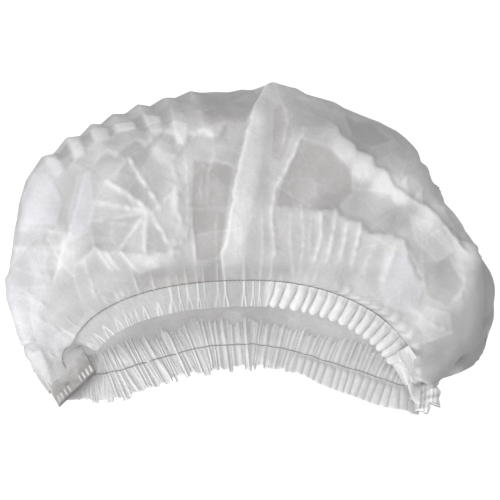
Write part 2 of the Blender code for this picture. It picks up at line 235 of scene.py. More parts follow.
def nonwoven(name, grey, white, open_share=0.08, through=0.32, panels=1.0, streaks=0.0):
    """Thin non-woven cloth. Its colour goes from grey, where one thin layer lies over shade, to white,
    where several lie on each other, after the layers attribute, which also holds painted light and
    shade. open_share is how clear one layer is, through is how much of the
    light that it catches goes on to the far side, panels is how strongly flat panels between sharp
    creases differ, and streaks is how strongly fibres run across a gathered hem."""
    web = Web(name)
    place = web.add("TexCoord", outlet="Object")
    cloth = web.add("TexCoord", outlet="UV")
    layers = web.add("Attribute", {"attribute_name": "layers"}, outlet="Fac")
    tint = web.add("Attribute", {"attribute_name": "tint"}, outlet="Fac")
    bent = web.add("TexNoise", Vector=place, Scale=30.0, Detail=1.0)
    cloud = web.add("TexNoise", Vector=place, Scale=85.0, Detail=4.0, Roughness=0.62, Distortion=0.4)
    fibre = web.add("TexNoise", Vector=place, Scale=560.0, Detail=3.0, Roughness=0.7, Distortion=1.2)
    speck_and_painted_sparkle = web.add("TexNoise", Vector=place, Scale=1500.0, Detail=2.0, Roughness=0.8)
    bond = web.add("TexVoronoi", {"feature": "F1"}, Vector=cloth, Scale=820.0, Randomness=0.35)
    bonded = 1.0 - bond.between(0.10, 0.45)
    # folded marks where the layers are high: folded cloth, and also places painted as lit.
    folded = layers.between(0.60, 1.15)
    # How white the cloth is: its layers, with the painted light and shade that they hold, and the cloud and
    # fibres of the web.
    thickness_and_painted_light = layers + (cloud.between(0.25, 0.75) - 0.5) * 0.14 + (fibre.between(0.28, 0.72) - 0.5) * 0.12
    # There fine specks make the colour whiter: a painted sparkle of the fibres.
    thickness_and_painted_light = thickness_and_painted_light + folded * (speck_and_painted_sparkle.between(0.45, 0.68) * 0.45 - bonded * 0.03 - 0.24)
    wrinkle = web.add("TexNoise", {"noise_type": "RIDGED_MULTIFRACTAL"}, Vector=place, Scale=26.0, Detail=5.0,
                      Roughness=0.5, Lacunarity=2.1, Offset=0.9, Gain=1.6, Distortion=0.3)
    # The wrinkles' tone follows their bump, lighter along the ridged lines: painted light on the wrinkles.
    thickness_and_painted_light = thickness_and_painted_light + (wrinkle.between(0.4, 1.3) - 0.5) * 0.10
    height = fibre * 0.20 + speck_and_painted_sparkle * 0.08 + cloud * 0.35 - bonded * 0.03 + wrinkle * 0.75
    for scale, line, tone in CREASED_PANELS if panels else ():
        cell = {"Vector": place, "Scale": scale, "Randomness": 1.0}
        panel = web.add("TexVoronoi", {"feature": "F1"}, outlet="Color", **cell)
        rim_of = web.add("TexVoronoi", {"feature": "DISTANCE_TO_EDGE"}, **cell)
        shown = bent.between(0.42, 0.62)
        # The crease lines are whiter: partly folded cloth, partly a painted highlight.
        crease = (1.0 - rim_of.between(0.004, 0.040)) * shown
        thickness_and_painted_light = thickness_and_painted_light + (panel - 0.5) * (tone * panels) + crease * (line * panels)
    if streaks:
        along = web.add("Mapping", Vector=cloth, Scale=(1.0, 0.10, 1.0))
        streak = web.add("TexNoise", Vector=along, Scale=1300.0, Detail=3.0, Roughness=0.7)
        thickness_and_painted_light = thickness_and_painted_light + (streak.between(0.3, 0.7) - 0.5) * streaks
        height = height + streak * 0.30
    # The tint gives a painted cast: cool with painted light and warm with painted shade.
    cool = web.add("Mix", {"data_type": "RGBA"}, outlet=2, _0=tint.between(0.0, 1.0),
                   _6=(1.0, 1.0, 1.0, 1.0), _7=(0.960, 0.955, 1.0, 1.0))
    warm = web.add("Mix", {"data_type": "RGBA"}, outlet=2, _0=(tint * -1.0).between(0.0, 1.0),
                   _6=cool, _7=(1.0, 0.950, 0.960, 1.0))
    whiteness = thickness_and_painted_light.maths("MINIMUM", 1.0).maths("MAXIMUM", 0.0)
    shade = web.add("Mix", {"data_type": "RGBA"}, outlet=2, _0=whiteness,
                    _6=(grey, grey, grey, 1.0), _7=(white, white, white, 1.0))
    multiplied = {"data_type": "RGBA", "blend_type": "MULTIPLY"}
    toned = web.add("Mix", multiplied, outlet=2, _0=1.0, _6=shade, _7=warm)
    bump = web.add("Bump", Strength=1.0, Distance=0.001, Height=height)
    surface = web.add("BsdfPrincipled", Base_Color=toned, Roughness=0.72 - folded * 0.2,
                      Specular_IOR_Level=0.3, Sheen_Weight=0.05, Sheen_Roughness=0.4, Normal=bump)
    glow = web.add("BsdfTranslucent", Color=(0.85, 0.84, 0.84, 1.0), Normal=bump)
    solid = web.add("MixShader", _0=through, _1=surface, _2=glow)
    clear = web.add("BsdfTransparent", Color=(1.0, 1.0, 1.0, 1.0))
    dense = (thickness_and_painted_light * 0.08 + (1.0 - open_share - 0.03)).maths("MINIMUM", 0.995).maths("MAXIMUM", 0.6)
    return web.finish(web.add("MixShader", _0=dense, _1=clear, _2=solid))


CROWN_CLOTH = nonwoven("nonwoven_single", 0.44, 0.96)
HEM_CLOTH = nonwoven("nonwoven_doubled", 0.50, 0.99, open_share=0.03, through=0.22, panels=0.0, streaks=0.26)
print("cloth materials made")


# %% Elastic thread and welded tabs
def covered_thread(name):
    """Dark covered elastic: a twist of fine yarn round the core, as slanting bands along the thread."""
    web = Web(name)
    along = web.add("TexCoord", outlet="UV")
    twist = web.add("TexWave", {"wave_type": "BANDS", "bands_direction": "DIAGONAL"}, Vector=along,
                    Scale=260.0, Distortion=1.0)
    fuzz = web.add("TexNoise", Vector=web.add("TexCoord", outlet="Object"), Scale=900.0, Detail=3.0)
    tone = web.add("Mix", {"data_type": "RGBA"}, outlet=2, _0=twist * 0.6 + fuzz * 0.4,
                   _6=(0.16, 0.15, 0.145, 1.0), _7=(0.42, 0.40, 0.39, 1.0))
    bump = web.add("Bump", Strength=0.6, Distance=0.0002, Height=twist + fuzz * 0.5)
    return web.finish(web.add("BsdfPrincipled", Base_Color=tone, Roughness=0.65 + fuzz * 0.2, Normal=bump))


def welded(name):
    """Cloth pressed by the weld: nearly a film, greyer and smoother, with faint clouds of fibre."""
    web = Web(name)
    place = web.add("TexCoord", outlet="Object")
    cloud = web.add("TexNoise", Vector=place, Scale=260.0, Detail=4.0, Roughness=0.6)
    fibre = web.add("TexNoise", Vector=place, Scale=1100.0, Detail=2.0, Roughness=0.7)
    layers = web.add("Attribute", {"attribute_name": "layers"}, outlet="Fac")
    # The tone follows the layers attribute; at the left tab's cut edge that holds a painted shadow line.
    tone = web.add("Mix", {"data_type": "RGBA"}, outlet=2, _0=layers + (cloud - 0.5) * 0.5,
                   _6=(0.22, 0.21, 0.205, 1.0), _7=(0.92, 0.91, 0.91, 1.0))
    bump = web.add("Bump", Strength=0.5, Distance=0.0004, Height=cloud * 0.6 + fibre * 0.4)
    surface = web.add("BsdfPrincipled", Base_Color=tone, Roughness=0.75, Specular_IOR_Level=0.25, Normal=bump)
    return web.finish(surface)


THREAD = covered_thread("covered_elastic")
WELD = welded("welded_cloth")
print("thread and weld materials made")

# %% [markdown]
# ## The cap's shape
# The puffed cloth is a fan of arcs. Each arc runs from the left tab to the right one, and the arcs
# turn about the line between the tabs: the first is the front rim, the middle ones go over the top,
# and the last is the back rim, on the floor. A table of sections gives how far each arc reaches. The
# same sizes make the solids, so the cloth stays on them.

# %% Sizes
CROWN_DEPTH, CROWN_HEIGHT = 0.159, 0.095
LOBE_LEFT, LOBE_RIGHT = 0.031, 0.042
MOUTH_LEFT, MOUTH_RIGHT, MOUTH_RISE = 0.101, 0.092, 0.042
FRONT_SETBACK, BACK_SETBACK = 0.048, 0.034
CLOTH_WALL, GAP = 0.001, 0.0003
PLEAT_PITCH, PLEAT_DEPTH = 0.053, 0.009
HEM_REACH, FLAP_REACH = 0.015, 0.014
GATHER_DEPTH = 0.0026
TAB_LENGTH = 0.012
TABS = {
    "left": {
        "depth": 0.074, "crown_side": 1.0, "edge": 49.0, "headings": (119.0, 119.0, 119.0),
        "runs": (0.25, 0.12, 0.0), "layers": 2, "over_hem": True,
    },
    "right": {
        "depth": 0.012, "crown_side": 0.67, "edge": -94.0, "headings": (168.0, 110.0, 168.0),
        "runs": (0.12, 0.28, 0.12), "layers": 4, "over_hem": False,
    },
}
# depth, height, left lobe, right lobe, pleat, power on the left, power on the right
SECTIONS = (
    (0.40, 0.63, 0.36, 0.36, 0.50, 0.82, 0.88),
    (0.53, 0.82, 0.62, 0.56, 0.80, 0.84, 0.90),
    (0.68, 0.94, 0.87, 0.68, 1.00, 0.84, 0.92),
    (0.83, 0.96, 0.89, 0.62, 1.00, 0.85, 0.93),
    (0.95, 0.77, 0.89, 0.58, 1.00, 0.85, 0.93),
    (1.00, 0.51, 0.90, 0.64, 1.00, 0.86, 0.93),
    (0.98, 0.26, 1.00, 0.88, 0.80, 0.90, 0.95),
    (0.87, 0.06, 1.00, 0.94, 0.50, 0.92, 0.96),
    (0.67, 0.00, 0.92, 0.92, 0.20, 0.92, 0.96),
    (0.44, 0.00, 0.66, 0.74, 0.10, 0.92, 0.96),
)
RIM_POWERS = {"front": (0.85, 1.00), "back": (1.70, 1.45)}
ROOT_BLEND, PLEAT_FADE = 0.10, 0.14
FINE = 400
print(len(SECTIONS), "sections between the two rims")


# %% Curves and tables
def smooth(x):
    """Eases from 0 to 1: x squared times (3 - 2x)."""
    x = np.clip(x, 0.0, 1.0)
    return x * x * (3 - 2 * x)


def section_table():
    """The section rows in metres, with the rims' rows at either end."""
    rows = [(FRONT_SETBACK, MOUTH_RISE, 0.0, 0.0, 0.0) + RIM_POWERS["front"]]
    rows += [(row[0] * CROWN_DEPTH, row[1] * CROWN_HEIGHT) + row[2:] for row in SECTIONS]
    rows.append((BACK_SETBACK, 0.0, 0.0, 0.0, 0.0) + RIM_POWERS["back"])
    table = np.array(rows)
    table[:, 2] *= LOBE_LEFT
    table[:, 3] *= LOBE_RIGHT
    return table


def through_rows(table, v):
    """A Catmull-Rom curve through the rows of a table, at shares v from its first to its last."""
    last = len(table) - 1
    place = np.clip(v, 0.0, 1.0) * last
    row = np.minimum(place.astype(int), last - 1)
    f = (place - row)[..., None]
    p0, p1, p2, p3 = (table[np.clip(row + k, 0, last)] for k in (-1, 0, 1, 2))
    slope, bend, twist = p2 - p0, 2 * p0 - 5 * p1 + 4 * p2 - p3, 3 * p1 - p0 - 3 * p2 + p3
    return 0.5 * (2 * p1 + slope * f + bend * f**2 + twist * f**3)


def through_three(values, v):
    """A parabola through a first, a middle and a last value."""
    first, middle, last = values
    return first * (1 - v) * (1 - 2 * v) + 4 * middle * v * (1 - v) + last * v * (2 * v - 1)


def evened(points, shares):
    """Turns even shares of the length of a line of points into shares of its own parameter."""
    steps = np.linalg.norm(np.diff(points, axis=0), axis=1)
    along = np.concatenate([[0.0], np.cumsum(steps)])
    return np.interp(shares * along[-1], along, np.linspace(0.0, 1.0, len(points))), along[-1]


def level(degrees):
    """Unit vectors on the floor: the cosine and sine of their directions."""
    turn = np.radians(degrees)
    return np.stack([np.cos(turn), np.sin(turn), np.zeros_like(turn)], axis=-1)


TABLE = section_table()
FINE_SHARES = np.linspace(0.0, 1.0, FINE)
SECTION_ARC = evened(through_rows(TABLE, FINE_SHARES)[:, :2], FINE_SHARES)[1]
print("round the middle the cloth is", round(1000 * SECTION_ARC), "mm long")


# %% The puffed surface
def tab_frame(side):
    """A tab's root point, its heading into the crown and its width direction, all on the floor."""
    half = -MOUTH_LEFT if side == "left" else MOUTH_RIGHT
    root = np.array([half, TABS[side]["depth"] * CROWN_DEPTH, 0.0])
    return root, level(TABS[side]["headings"][0]), level(TABS[side]["edge"])


def tab_heights(side):
    """The heights of a tab's underside and top."""
    layers = TABS[side]["layers"]
    under = CLOTH_WALL + GAP
    if TABS[side]["over_hem"]:
        under = 2 * under + GATHER_DEPTH
    return under, under + layers * CLOTH_WALL + (layers - 1) * GAP


def slot(side, v):
    """The cloth at a tab's root: a flat loop from the front rim round to the back rim."""
    root, _, width = tab_frame(side)
    bend = tab_heights(side)[1] / 2
    flat = HEM_REACH * TABS[side]["crown_side"] - bend
    at = v * (2 * flat + math.pi * bend)
    turn = np.clip((at - flat) / bend, 0.0, math.pi)
    across = -np.where(at < flat, at, np.where(turn < math.pi, flat, 2 * flat + math.pi * bend - at))
    across = across - bend * np.sin(turn)
    up = bend * (1 + np.cos(turn))
    return root + across[..., None] * width + up[..., None] * np.array([0.0, 0.0, 1.0])


def puffed(t, v):
    """An arc from tab to tab through each point of the section. t goes from 0 to 1 along each arc.

    An angle runs from a little below zero to a little over pi, and its sine and cosine, raised to
    the section's powers, give how far the point is out, and where it is between the lobes.
    """
    row = through_rows(TABLE, v)
    roots = {side: tab_frame(side)[0] for side in TABS}
    half_left, half_right = MOUTH_LEFT + row[..., 2], MOUTH_RIGHT + row[..., 3]
    start = np.arccos(np.clip(MOUTH_LEFT / half_left, -1, 1))
    end = np.arccos(np.clip(MOUTH_RIGHT / half_right, -1, 1))
    angle = -start + t * (math.pi + start + end)
    left = angle < math.pi / 2
    power = np.where(left, row[..., 5], row[..., 6])
    sine, cosine = np.sin(angle), np.cos(angle)
    above = sine > 0
    rise = np.where(above, np.abs(sine) ** power, sine)
    span = np.sign(cosine) * np.where(above, np.abs(cosine) ** power, np.abs(cosine))
    dip = np.where(left, np.sin(start), np.sin(end))
    share = (rise + dip) / (1 + dip)
    way = smooth(t)
    foot = roots["left"][1] * (1 - way) + roots["right"][1] * way
    x = -np.where(left, half_left, half_right) * span
    y = foot + (row[..., 0] - foot) * share
    bottom = np.where(left, slot("left", v)[..., 2], slot("right", v)[..., 2])
    z = bottom + (row[..., 1] - bottom) * share
    return np.stack([x, y, z], axis=-1)


# How far the back rim lies nearer to the viewer than the solid's rim, in cells, at places across the view.
RIM_NEARER = ((60, 0), (80, 2), (95, 5), (113, 7), (130, 4.5), (158, 1.5), (203, -3), (232, -0.5), (249, 1.5),
              (265, 2), (280, 2.5), (294, 3.5), (308, 5), (323, 7), (343, 8.5), (364, 8), (386, 9), (403, 7),
              (416, 1), (422, 0))


def body(t, v):
    """The puffed cloth, gathered into the flat slots at the two tabs, in the frame's place."""
    points = puffed(t, v)
    across = 252 + points[..., 0] / PIXEL
    nearer = sum(np.interp(across + k, *zip(*RIM_NEARER)) for k in (-12, -6, 0, 6, 12)) / 5
    points[..., 1] -= nearer * PIXEL / math.sin(ELEVATION) * smooth((v - 0.80) / 0.20)
    for side, away in (("left", t), ("right", 1 - t)):
        run, heading = (through_three(TABS[side][key], v) for key in ("runs", "headings"))
        lane = slot(side, v) + (away * run)[..., None] * level(heading)
        ease = smooth(away / ROOT_BLEND)[..., None]
        points = points * ease + lane * (1 - ease)
    return points + SHIFT


def directions(shape, t, v, step=1e-4):
    """Unit vectors of a surface along it, across it and outwards, from small differences."""
    t0, t1 = np.clip(t - step, 0, 1), np.clip(t + step, 0, 1)
    v0, v1 = np.clip(v - step, 0, 1), np.clip(v + step, 0, 1)
    along = (shape(t1, v) - shape(t0, v)) / (t1 - t0)[..., None]
    across = (shape(t, v1) - shape(t, v0)) / (v1 - v0)[..., None]
    along /= np.linalg.norm(along, axis=-1, keepdims=True)
    across -= along * np.sum(along * across, axis=-1, keepdims=True)
    across /= np.linalg.norm(across, axis=-1, keepdims=True)
    return along, across, np.cross(along, across)


crest_line = body(FINE_SHARES, np.full(FINE, 0.45))
print("the longest arc is", round(1000 * evened(crest_line, FINE_SHARES)[1]), "mm")


# %% Waves and creases
def saw(x):
    """A triangular wave: 1 at whole numbers, -1 halfway between them."""
    return 4 * np.abs(x - np.floor(x) - 0.5) - 1


def lobes(phase, fullness=0.6):
    """Rounded lobes with sharp valleys between them, from 0 to 1: the sine's size to a power."""
    return np.abs(np.sin(math.pi * phase)) ** fullness


def wander(x, pitch, seed, dims=1):
    """Smooth noise about 0, near -1 to 1: a sum of sines whose directions and phases are drawn once."""
    draw = np.random.default_rng(seed)
    total = 0.0
    for _ in range(7):
        way = draw.normal(size=dims)
        way *= draw.uniform(0.6, 1.4) * 2 * math.pi / pitch / np.linalg.norm(way)
        total = total + np.sin((x * way[0] if dims == 1 else x @ way) + draw.uniform(0, 2 * math.pi))
    return total / 2.6


def drawn(index, low, high, seed):
    """A number drawn once for each whole index, between low and high."""
    table = np.random.default_rng(seed).uniform(low, high, 4096)
    return table[index.astype(int) % 4096]


def from_line(place, line):
    """Signed distance of places from a chain of points, and how far along it, in cells.

    The distance is positive on the right of a walker who goes along the line, in a view with down
    as the second axis.
    """
    line = np.array(line, float)
    best = np.full(place.shape[:-1], 1e9)
    signed, run, passed = np.zeros_like(best), np.zeros_like(best), 0.0
    for a, b in zip(line[:-1], line[1:]):
        step = b - a
        size = np.hypot(*step)
        rel = place - a
        share = np.clip((rel @ step) / size**2, 0, 1)
        away = np.linalg.norm(rel - share[..., None] * step, axis=-1)
        side = np.sign(step[0] * rel[..., 1] - step[1] * rel[..., 0])
        closer = away < best
        signed = np.where(closer, away * side, signed)
        run = np.where(closer, passed + share * size, run)
        best = np.minimum(best, away)
        passed += size
    return signed, run, passed


print("waves, drawn numbers and distances from drawn lines")

# %% [markdown]
# ## Meshes
# Every piece is a grid of points, row after row, made as one numpy array. Attributes carry how many
# layers of cloth lie there, together with painted light and shade, and a faint tint, which is a
# painted cast of that light and shade; the material reads both.


# %% Grids to meshes
def grid_faces(columns, rows, start=0):
    """Quads of a grid whose points run along each row of columns in turn."""
    i, j = np.meshgrid(np.arange(columns - 1), np.arange(rows - 1), indexing="ij")
    a = (j * columns + i).ravel() + start
    return np.stack([a, a + 1, a + columns + 1, a + columns], axis=1)


def cloth_piece(name, points, faces, material, uv=None, layers=None, tint=None):
    """A smooth mesh of quads with its cloth coordinates and attributes, riding on the frame."""
    flat = points.reshape(-1, 3)
    mesh = bpy.data.meshes.new(name)
    mesh.vertices.add(len(flat))
    mesh.vertices.foreach_set("co", flat.astype(np.float32).ravel())
    mesh.loops.add(faces.size)
    mesh.loops.foreach_set("vertex_index", faces.astype(np.int32).ravel())
    mesh.polygons.add(len(faces))
    mesh.polygons.foreach_set("loop_start", np.arange(0, faces.size, 4, dtype=np.int32))
    mesh.update(calc_edges=True)
    mesh.validate()
    mesh.polygons.foreach_set("use_smooth", np.ones(len(faces), bool))
    if uv is not None:
        layer = mesh.uv_layers.new(name="cloth")
        layer.data.foreach_set("uv", uv.reshape(-1, 2)[faces.ravel()].astype(np.float32).ravel())
    for key, values in (("layers", layers), ("tint", tint)):
        values = np.zeros(len(flat)) if values is None else values
        attribute = mesh.attributes.new(key, "FLOAT", "POINT")
        attribute.data.foreach_set("value", np.ravel(values).astype(np.float32))
    mesh.materials.append(material)
    piece = bpy.data.objects.new(name, mesh)
    bpy.context.scene.collection.objects.link(piece)
    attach(piece, "root")
    print(name, len(faces), "quads")
    return piece


def mesh_area(points, faces):
    """The area of quads: half the size of the cross product of their diagonals."""
    p = points.reshape(-1, 3)[faces]
    return float(np.linalg.norm(np.cross(p[:, 2] - p[:, 0], p[:, 3] - p[:, 1]), axis=1).sum() / 2)


# %% [markdown]
# ## Gathers
# The elastic draws each long edge to less than half of its length. The cloth beside it stands in
# small waves that are pinched at the thread, and that open out on both sides of it.

# %% Gathers
FRONT_GATHERS, BACK_GATHERS = 43, 56


def rim(which, shares, reach=0.0):
    """A rim at even shares of its length, or a line on the crown at a reach from it.

    Gives the points, the directions of the hem's free side and outwards, and the rim's parameter.
    The line at a reach is found in a few rounds: what a point has gone along the rim is taken back,
    and then its distance is brought to the reach.
    """
    start, way = (0.0, 1.0) if which == "front" else (1.0, -1.0)
    t = evened(body(FINE_SHARES, np.full(FINE, start)), shares)[0]
    v = np.full_like(t, start)
    origin = body(t, v)
    if np.any(reach):
        along = np.gradient(origin, axis=0) / np.gradient(t)[:, None]
        speed = np.maximum(np.linalg.norm(along, axis=-1), 0.05)
        v = v + way * 0.02
        for _ in range(6):
            gone = body(t, v) - origin
            t = np.clip(t - 0.7 * np.sum(gone * along, axis=-1) / speed**2, 0.002, 0.998)
            gone = np.linalg.norm(body(t, v) - origin, axis=-1)
            v = start + (v - start) * np.clip(reach / np.maximum(gone, 1e-5), 0.3, 3.0)
            v = start + way * np.clip(np.abs(v - start), 1e-4, 0.2)
    across, outward = directions(body, t, v)[1:]
    free = -way * across
    for side, away in (("left", shares), ("right", 1 - shares)):
        if which == "front" or not TABS[side]["over_hem"]:
            ease = smooth(away / ROOT_BLEND)[:, None]
            free = free * ease + tab_frame(side)[2] * (1 - ease)
    return body(t, v), free, outward, t


def tab_fade(shares):
    """0 at the tabs and 1 away from them."""
    return smooth(shares / ROOT_BLEND) * smooth((1 - shares) / ROOT_BLEND)


def folds(phase, sharpness):
    """Sharp ridges at whole numbers with rounded valleys between them, from 0 to 1."""
    return 1 - np.abs(np.sin(math.pi * phase)) ** sharpness


def gather_phase(shares, count, seed):
    """The number of gathers up to each share: uneven up to the middle, and nearly even beyond it."""
    even = 1 - 0.72 * smooth((shares - 0.50) / 0.08)
    uneven = 0.45 * wander(shares * count, 5.0, seed) + 0.2 * wander(shares * count, 2.2, seed + 1)
    return shares * count + even * uneven


def share_of(which, t):
    """The share of a rim's length at the surface's own parameter."""
    start = 0.0 if which == "front" else 1.0
    shares = np.linspace(0, 1, FINE)
    return np.interp(t, evened(body(FINE_SHARES, np.full(FINE, start)), shares)[0], shares)


for which in ("front", "back"):
    print(which, "rim", round(1000 * evened(rim(which, FINE_SHARES)[0], FINE_SHARES)[1]), "mm")

# %% [markdown]
# ## The crown
# The crown is one open sheet. Lengthwise pleats give its long ridges, and gathering waves each ridge.
# The creases that hands and the packet left are drawn as the viewer sees them: each is a chain of
# points with a height and a width, and it only marks the side that faces the viewer.

# %% Creases of the crown
# Steps: the cloth on the right of a walker along the line is raised by the height, in millimetres,
# over the edge's width, and sinks back within the reach. Its edge is a fold, so it is thicker there,
# by the layers, for as far as the glow says; that lighter band is also painted light on the fold, and
# a painted shadow lies just below the edge. Widths, reaches and glows are in cells of the view.
STEPS = {
    # name: (height, edge, reach, layers, glow, line)
    "lapped_flap": (4.0, 1.2, 60, 0.65, 9, (
        (224, 284), (222, 268), (220, 254), (225, 240), (230, 211), (235, 180), (239, 163),
        (250, 121), (254, 110), (262, 98), (274, 80))),
    "right_pleat": (2.4, 1.6, 34, 0.85, 9, (
        (326, 118), (335, 127), (338, 134), (343, 140), (349, 144), (353, 147), (354, 152), (356, 154),
        (364, 154), (370, 157), (372, 164), (375, 169), (382, 170), (387, 174), (389, 180), (393, 186),
        (401, 193), (412, 200), (424, 206), (434, 213), (442, 222), (450, 232), (458, 244), (468, 260))),
    "tucked_panel": (2.0, 1.3, 36, 0.35, 8, (
        (306, 214), (317, 211), (336, 209), (340, 216), (350, 220), (360, 222), (362, 227), (369, 234),
        (390, 234), (403, 241), (412, 266), (424, 292))),
    "left_mound": (1.6, 1.4, 26, 0.30, 8, (
        (72, 268), (85, 257), (96, 247), (107, 250), (117, 250), (125, 252), (150, 255), (172, 251),
        (190, 246))),
    "second_pleat": (1.8, 1.5, 22, 0.22, 7, (
        (244, 124), (236, 122), (225, 127), (219, 138), (213, 140), (205, 134), (196, 138), (190, 136),
        (184, 147), (176, 137), (165, 133), (155, 138), (148, 148), (138, 142), (128, 148), (120, 158),
        (110, 155), (100, 163), (93, 174))),
    "right_scallops": (1.4, 1.4, 20, 0.22, 6, (
        (446, 226), (452, 228), (456, 233), (457, 240), (463, 242), (467, 248), (468, 256), (474, 259),
        (478, 266), (480, 276), (484, 282), (484, 296), (480, 312))),
    "left_band": (1.0, 2.5, 22, 0.12, 8, (
        (54, 288), (60, 266), (66, 246), (72, 228), (78, 206), (84, 184), (93, 170))),
}
# Ridges are lighter along their crests by the layers: partly folded cloth, partly a painted highlight.
RIDGES = {
    # name: (height, width, layers, line)
    "star_up_left": (1.2, 2.2, 0.75, ((152, 212), (132, 196), (108, 182))),
    "star_up": (1.3, 1.9, 0.80, ((160, 208), (148, 188), (130, 160))),
    "star_short": (0.7, 1.8, 0.35, ((126, 159), (122, 172), (114, 182))),
    "star_left": (0.9, 2.0, 0.55, ((148, 211), (122, 207), (96, 202))),
    "star_low_left": (0.7, 2.0, 0.30, ((140, 225), (115, 223), (92, 221))),
    "star_down_left": (0.8, 1.7, 0.35, ((146, 214), (134, 230), (121, 247))),
    "star_down": (1.0, 2.4, 0.45, ((148, 213), (146, 232), (146, 252))),
    "star_right": (1.2, 1.8, 0.65, ((152, 213), (162, 229), (172, 248))),
    "middle_fold": (1.8, 6.0, 0.25, ((172, 150), (176, 187), (181, 215), (184, 235), (175, 254))),
    "upright_1": (0.5, 1.1, 0.35, ((217, 214), (216, 240), (219, 276))),
    "upright_2": (0.5, 1.1, 0.40, ((186, 160), (189, 200), (187, 252))),
    "upright_3": (0.6, 1.2, 0.45, ((291, 208), (289, 236), (293, 276))),
    "upright_4": (0.6, 1.2, 0.45, ((301, 207), (303, 236), (299, 278))),
    "upright_5": (0.5, 1.1, 0.35, ((311, 216), (309, 244), (311, 274))),
    "upright_6": (0.4, 1.1, 0.30, ((262, 214), (263, 246), (261, 278))),
    "upright_7": (0.4, 1.1, 0.30, ((204, 166), (201, 186), (203, 207))),
    "panel_up": (0.7, 1.6, 0.45, ((213, 158), (209, 176), (207, 205))),
    "panel_low": (0.7, 1.6, 0.45, ((192, 209), (193, 230), (197, 262))),
    "panel_level": (0.4, 1.3, 0.20, ((190, 209), (233, 208))),
    "right_lap": (1.4, 1.9, 0.55, ((304, 132), (300, 143), (287, 168), (274, 190), (271, 215), (275, 256))),
    "right_level": (0.4, 1.4, 0.20, ((272, 207), (312, 206))),
    "tuck_1": (1.4, 2.4, 0.55, ((321, 212), (320, 236), (314, 263))),
    "tuck_2": (1.4, 2.0, 0.60, ((336, 211), (332, 236), (326, 261))),
    "tuck_3": (1.3, 2.6, 0.60, ((347, 222), (344, 240), (339, 260))),
    "tuck_4": (1.3, 2.4, 0.60, ((360, 224), (356, 246), (350, 268))),
    "tuck_5": (1.2, 2.6, 0.50, ((376, 236), (370, 254), (361, 273))),
    "tuck_6": (1.5, 3.0, 0.60, ((394, 246), (388, 262), (381, 284))),
    "tuck_7": (1.0, 2.4, 0.40, ((403, 242), (412, 258), (420, 276), (424, 292))),
    "mound_1": (0.8, 1.8, 0.35, ((100, 250), (106, 260), (113, 270))),
    "mound_2": (0.8, 1.8, 0.35, ((108, 250), (114, 260), (121, 268))),
    "mound_3": (0.9, 1.8, 0.40, ((122, 251), (131, 262), (140, 273))),
    "low_left": (0.8, 1.8, 0.30, ((86, 258), (91, 276), (96, 296))),
    "band_1": (0.9, 2.4, 0.25, ((16, 228), (44, 230), (66, 234))),
    "band_2": (0.9, 2.4, 0.25, ((11, 247), (40, 250), (62, 255))),
    "band_3": (0.8, 2.4, 0.20, ((8, 266), (34, 271), (58, 280))),
    "band_4": (0.8, 2.4, 0.20, ((8, 288), (30, 295), (50, 306))),
    "low_band_1": (1.0, 2.6, 0.20, ((12, 310), (36, 312), (60, 330))),
    "low_band_2": (1.0, 2.6, 0.20, ((20, 340), (36, 336), (58, 345))),
    "low_band_3": (0.9, 2.4, 0.20, ((27, 356), (44, 352), (60, 358))),
    "right_fold_1": (1.0, 2.6, 0.25, ((404, 300), (424, 320), (446, 330))),
    "right_fold_2": (1.0, 3.0, 0.20, ((456, 255), (462, 280), (456, 300))),
    "top_fold": (0.8, 2.0, 0.35, ((284, 110), (287, 128), (282, 150))),
}
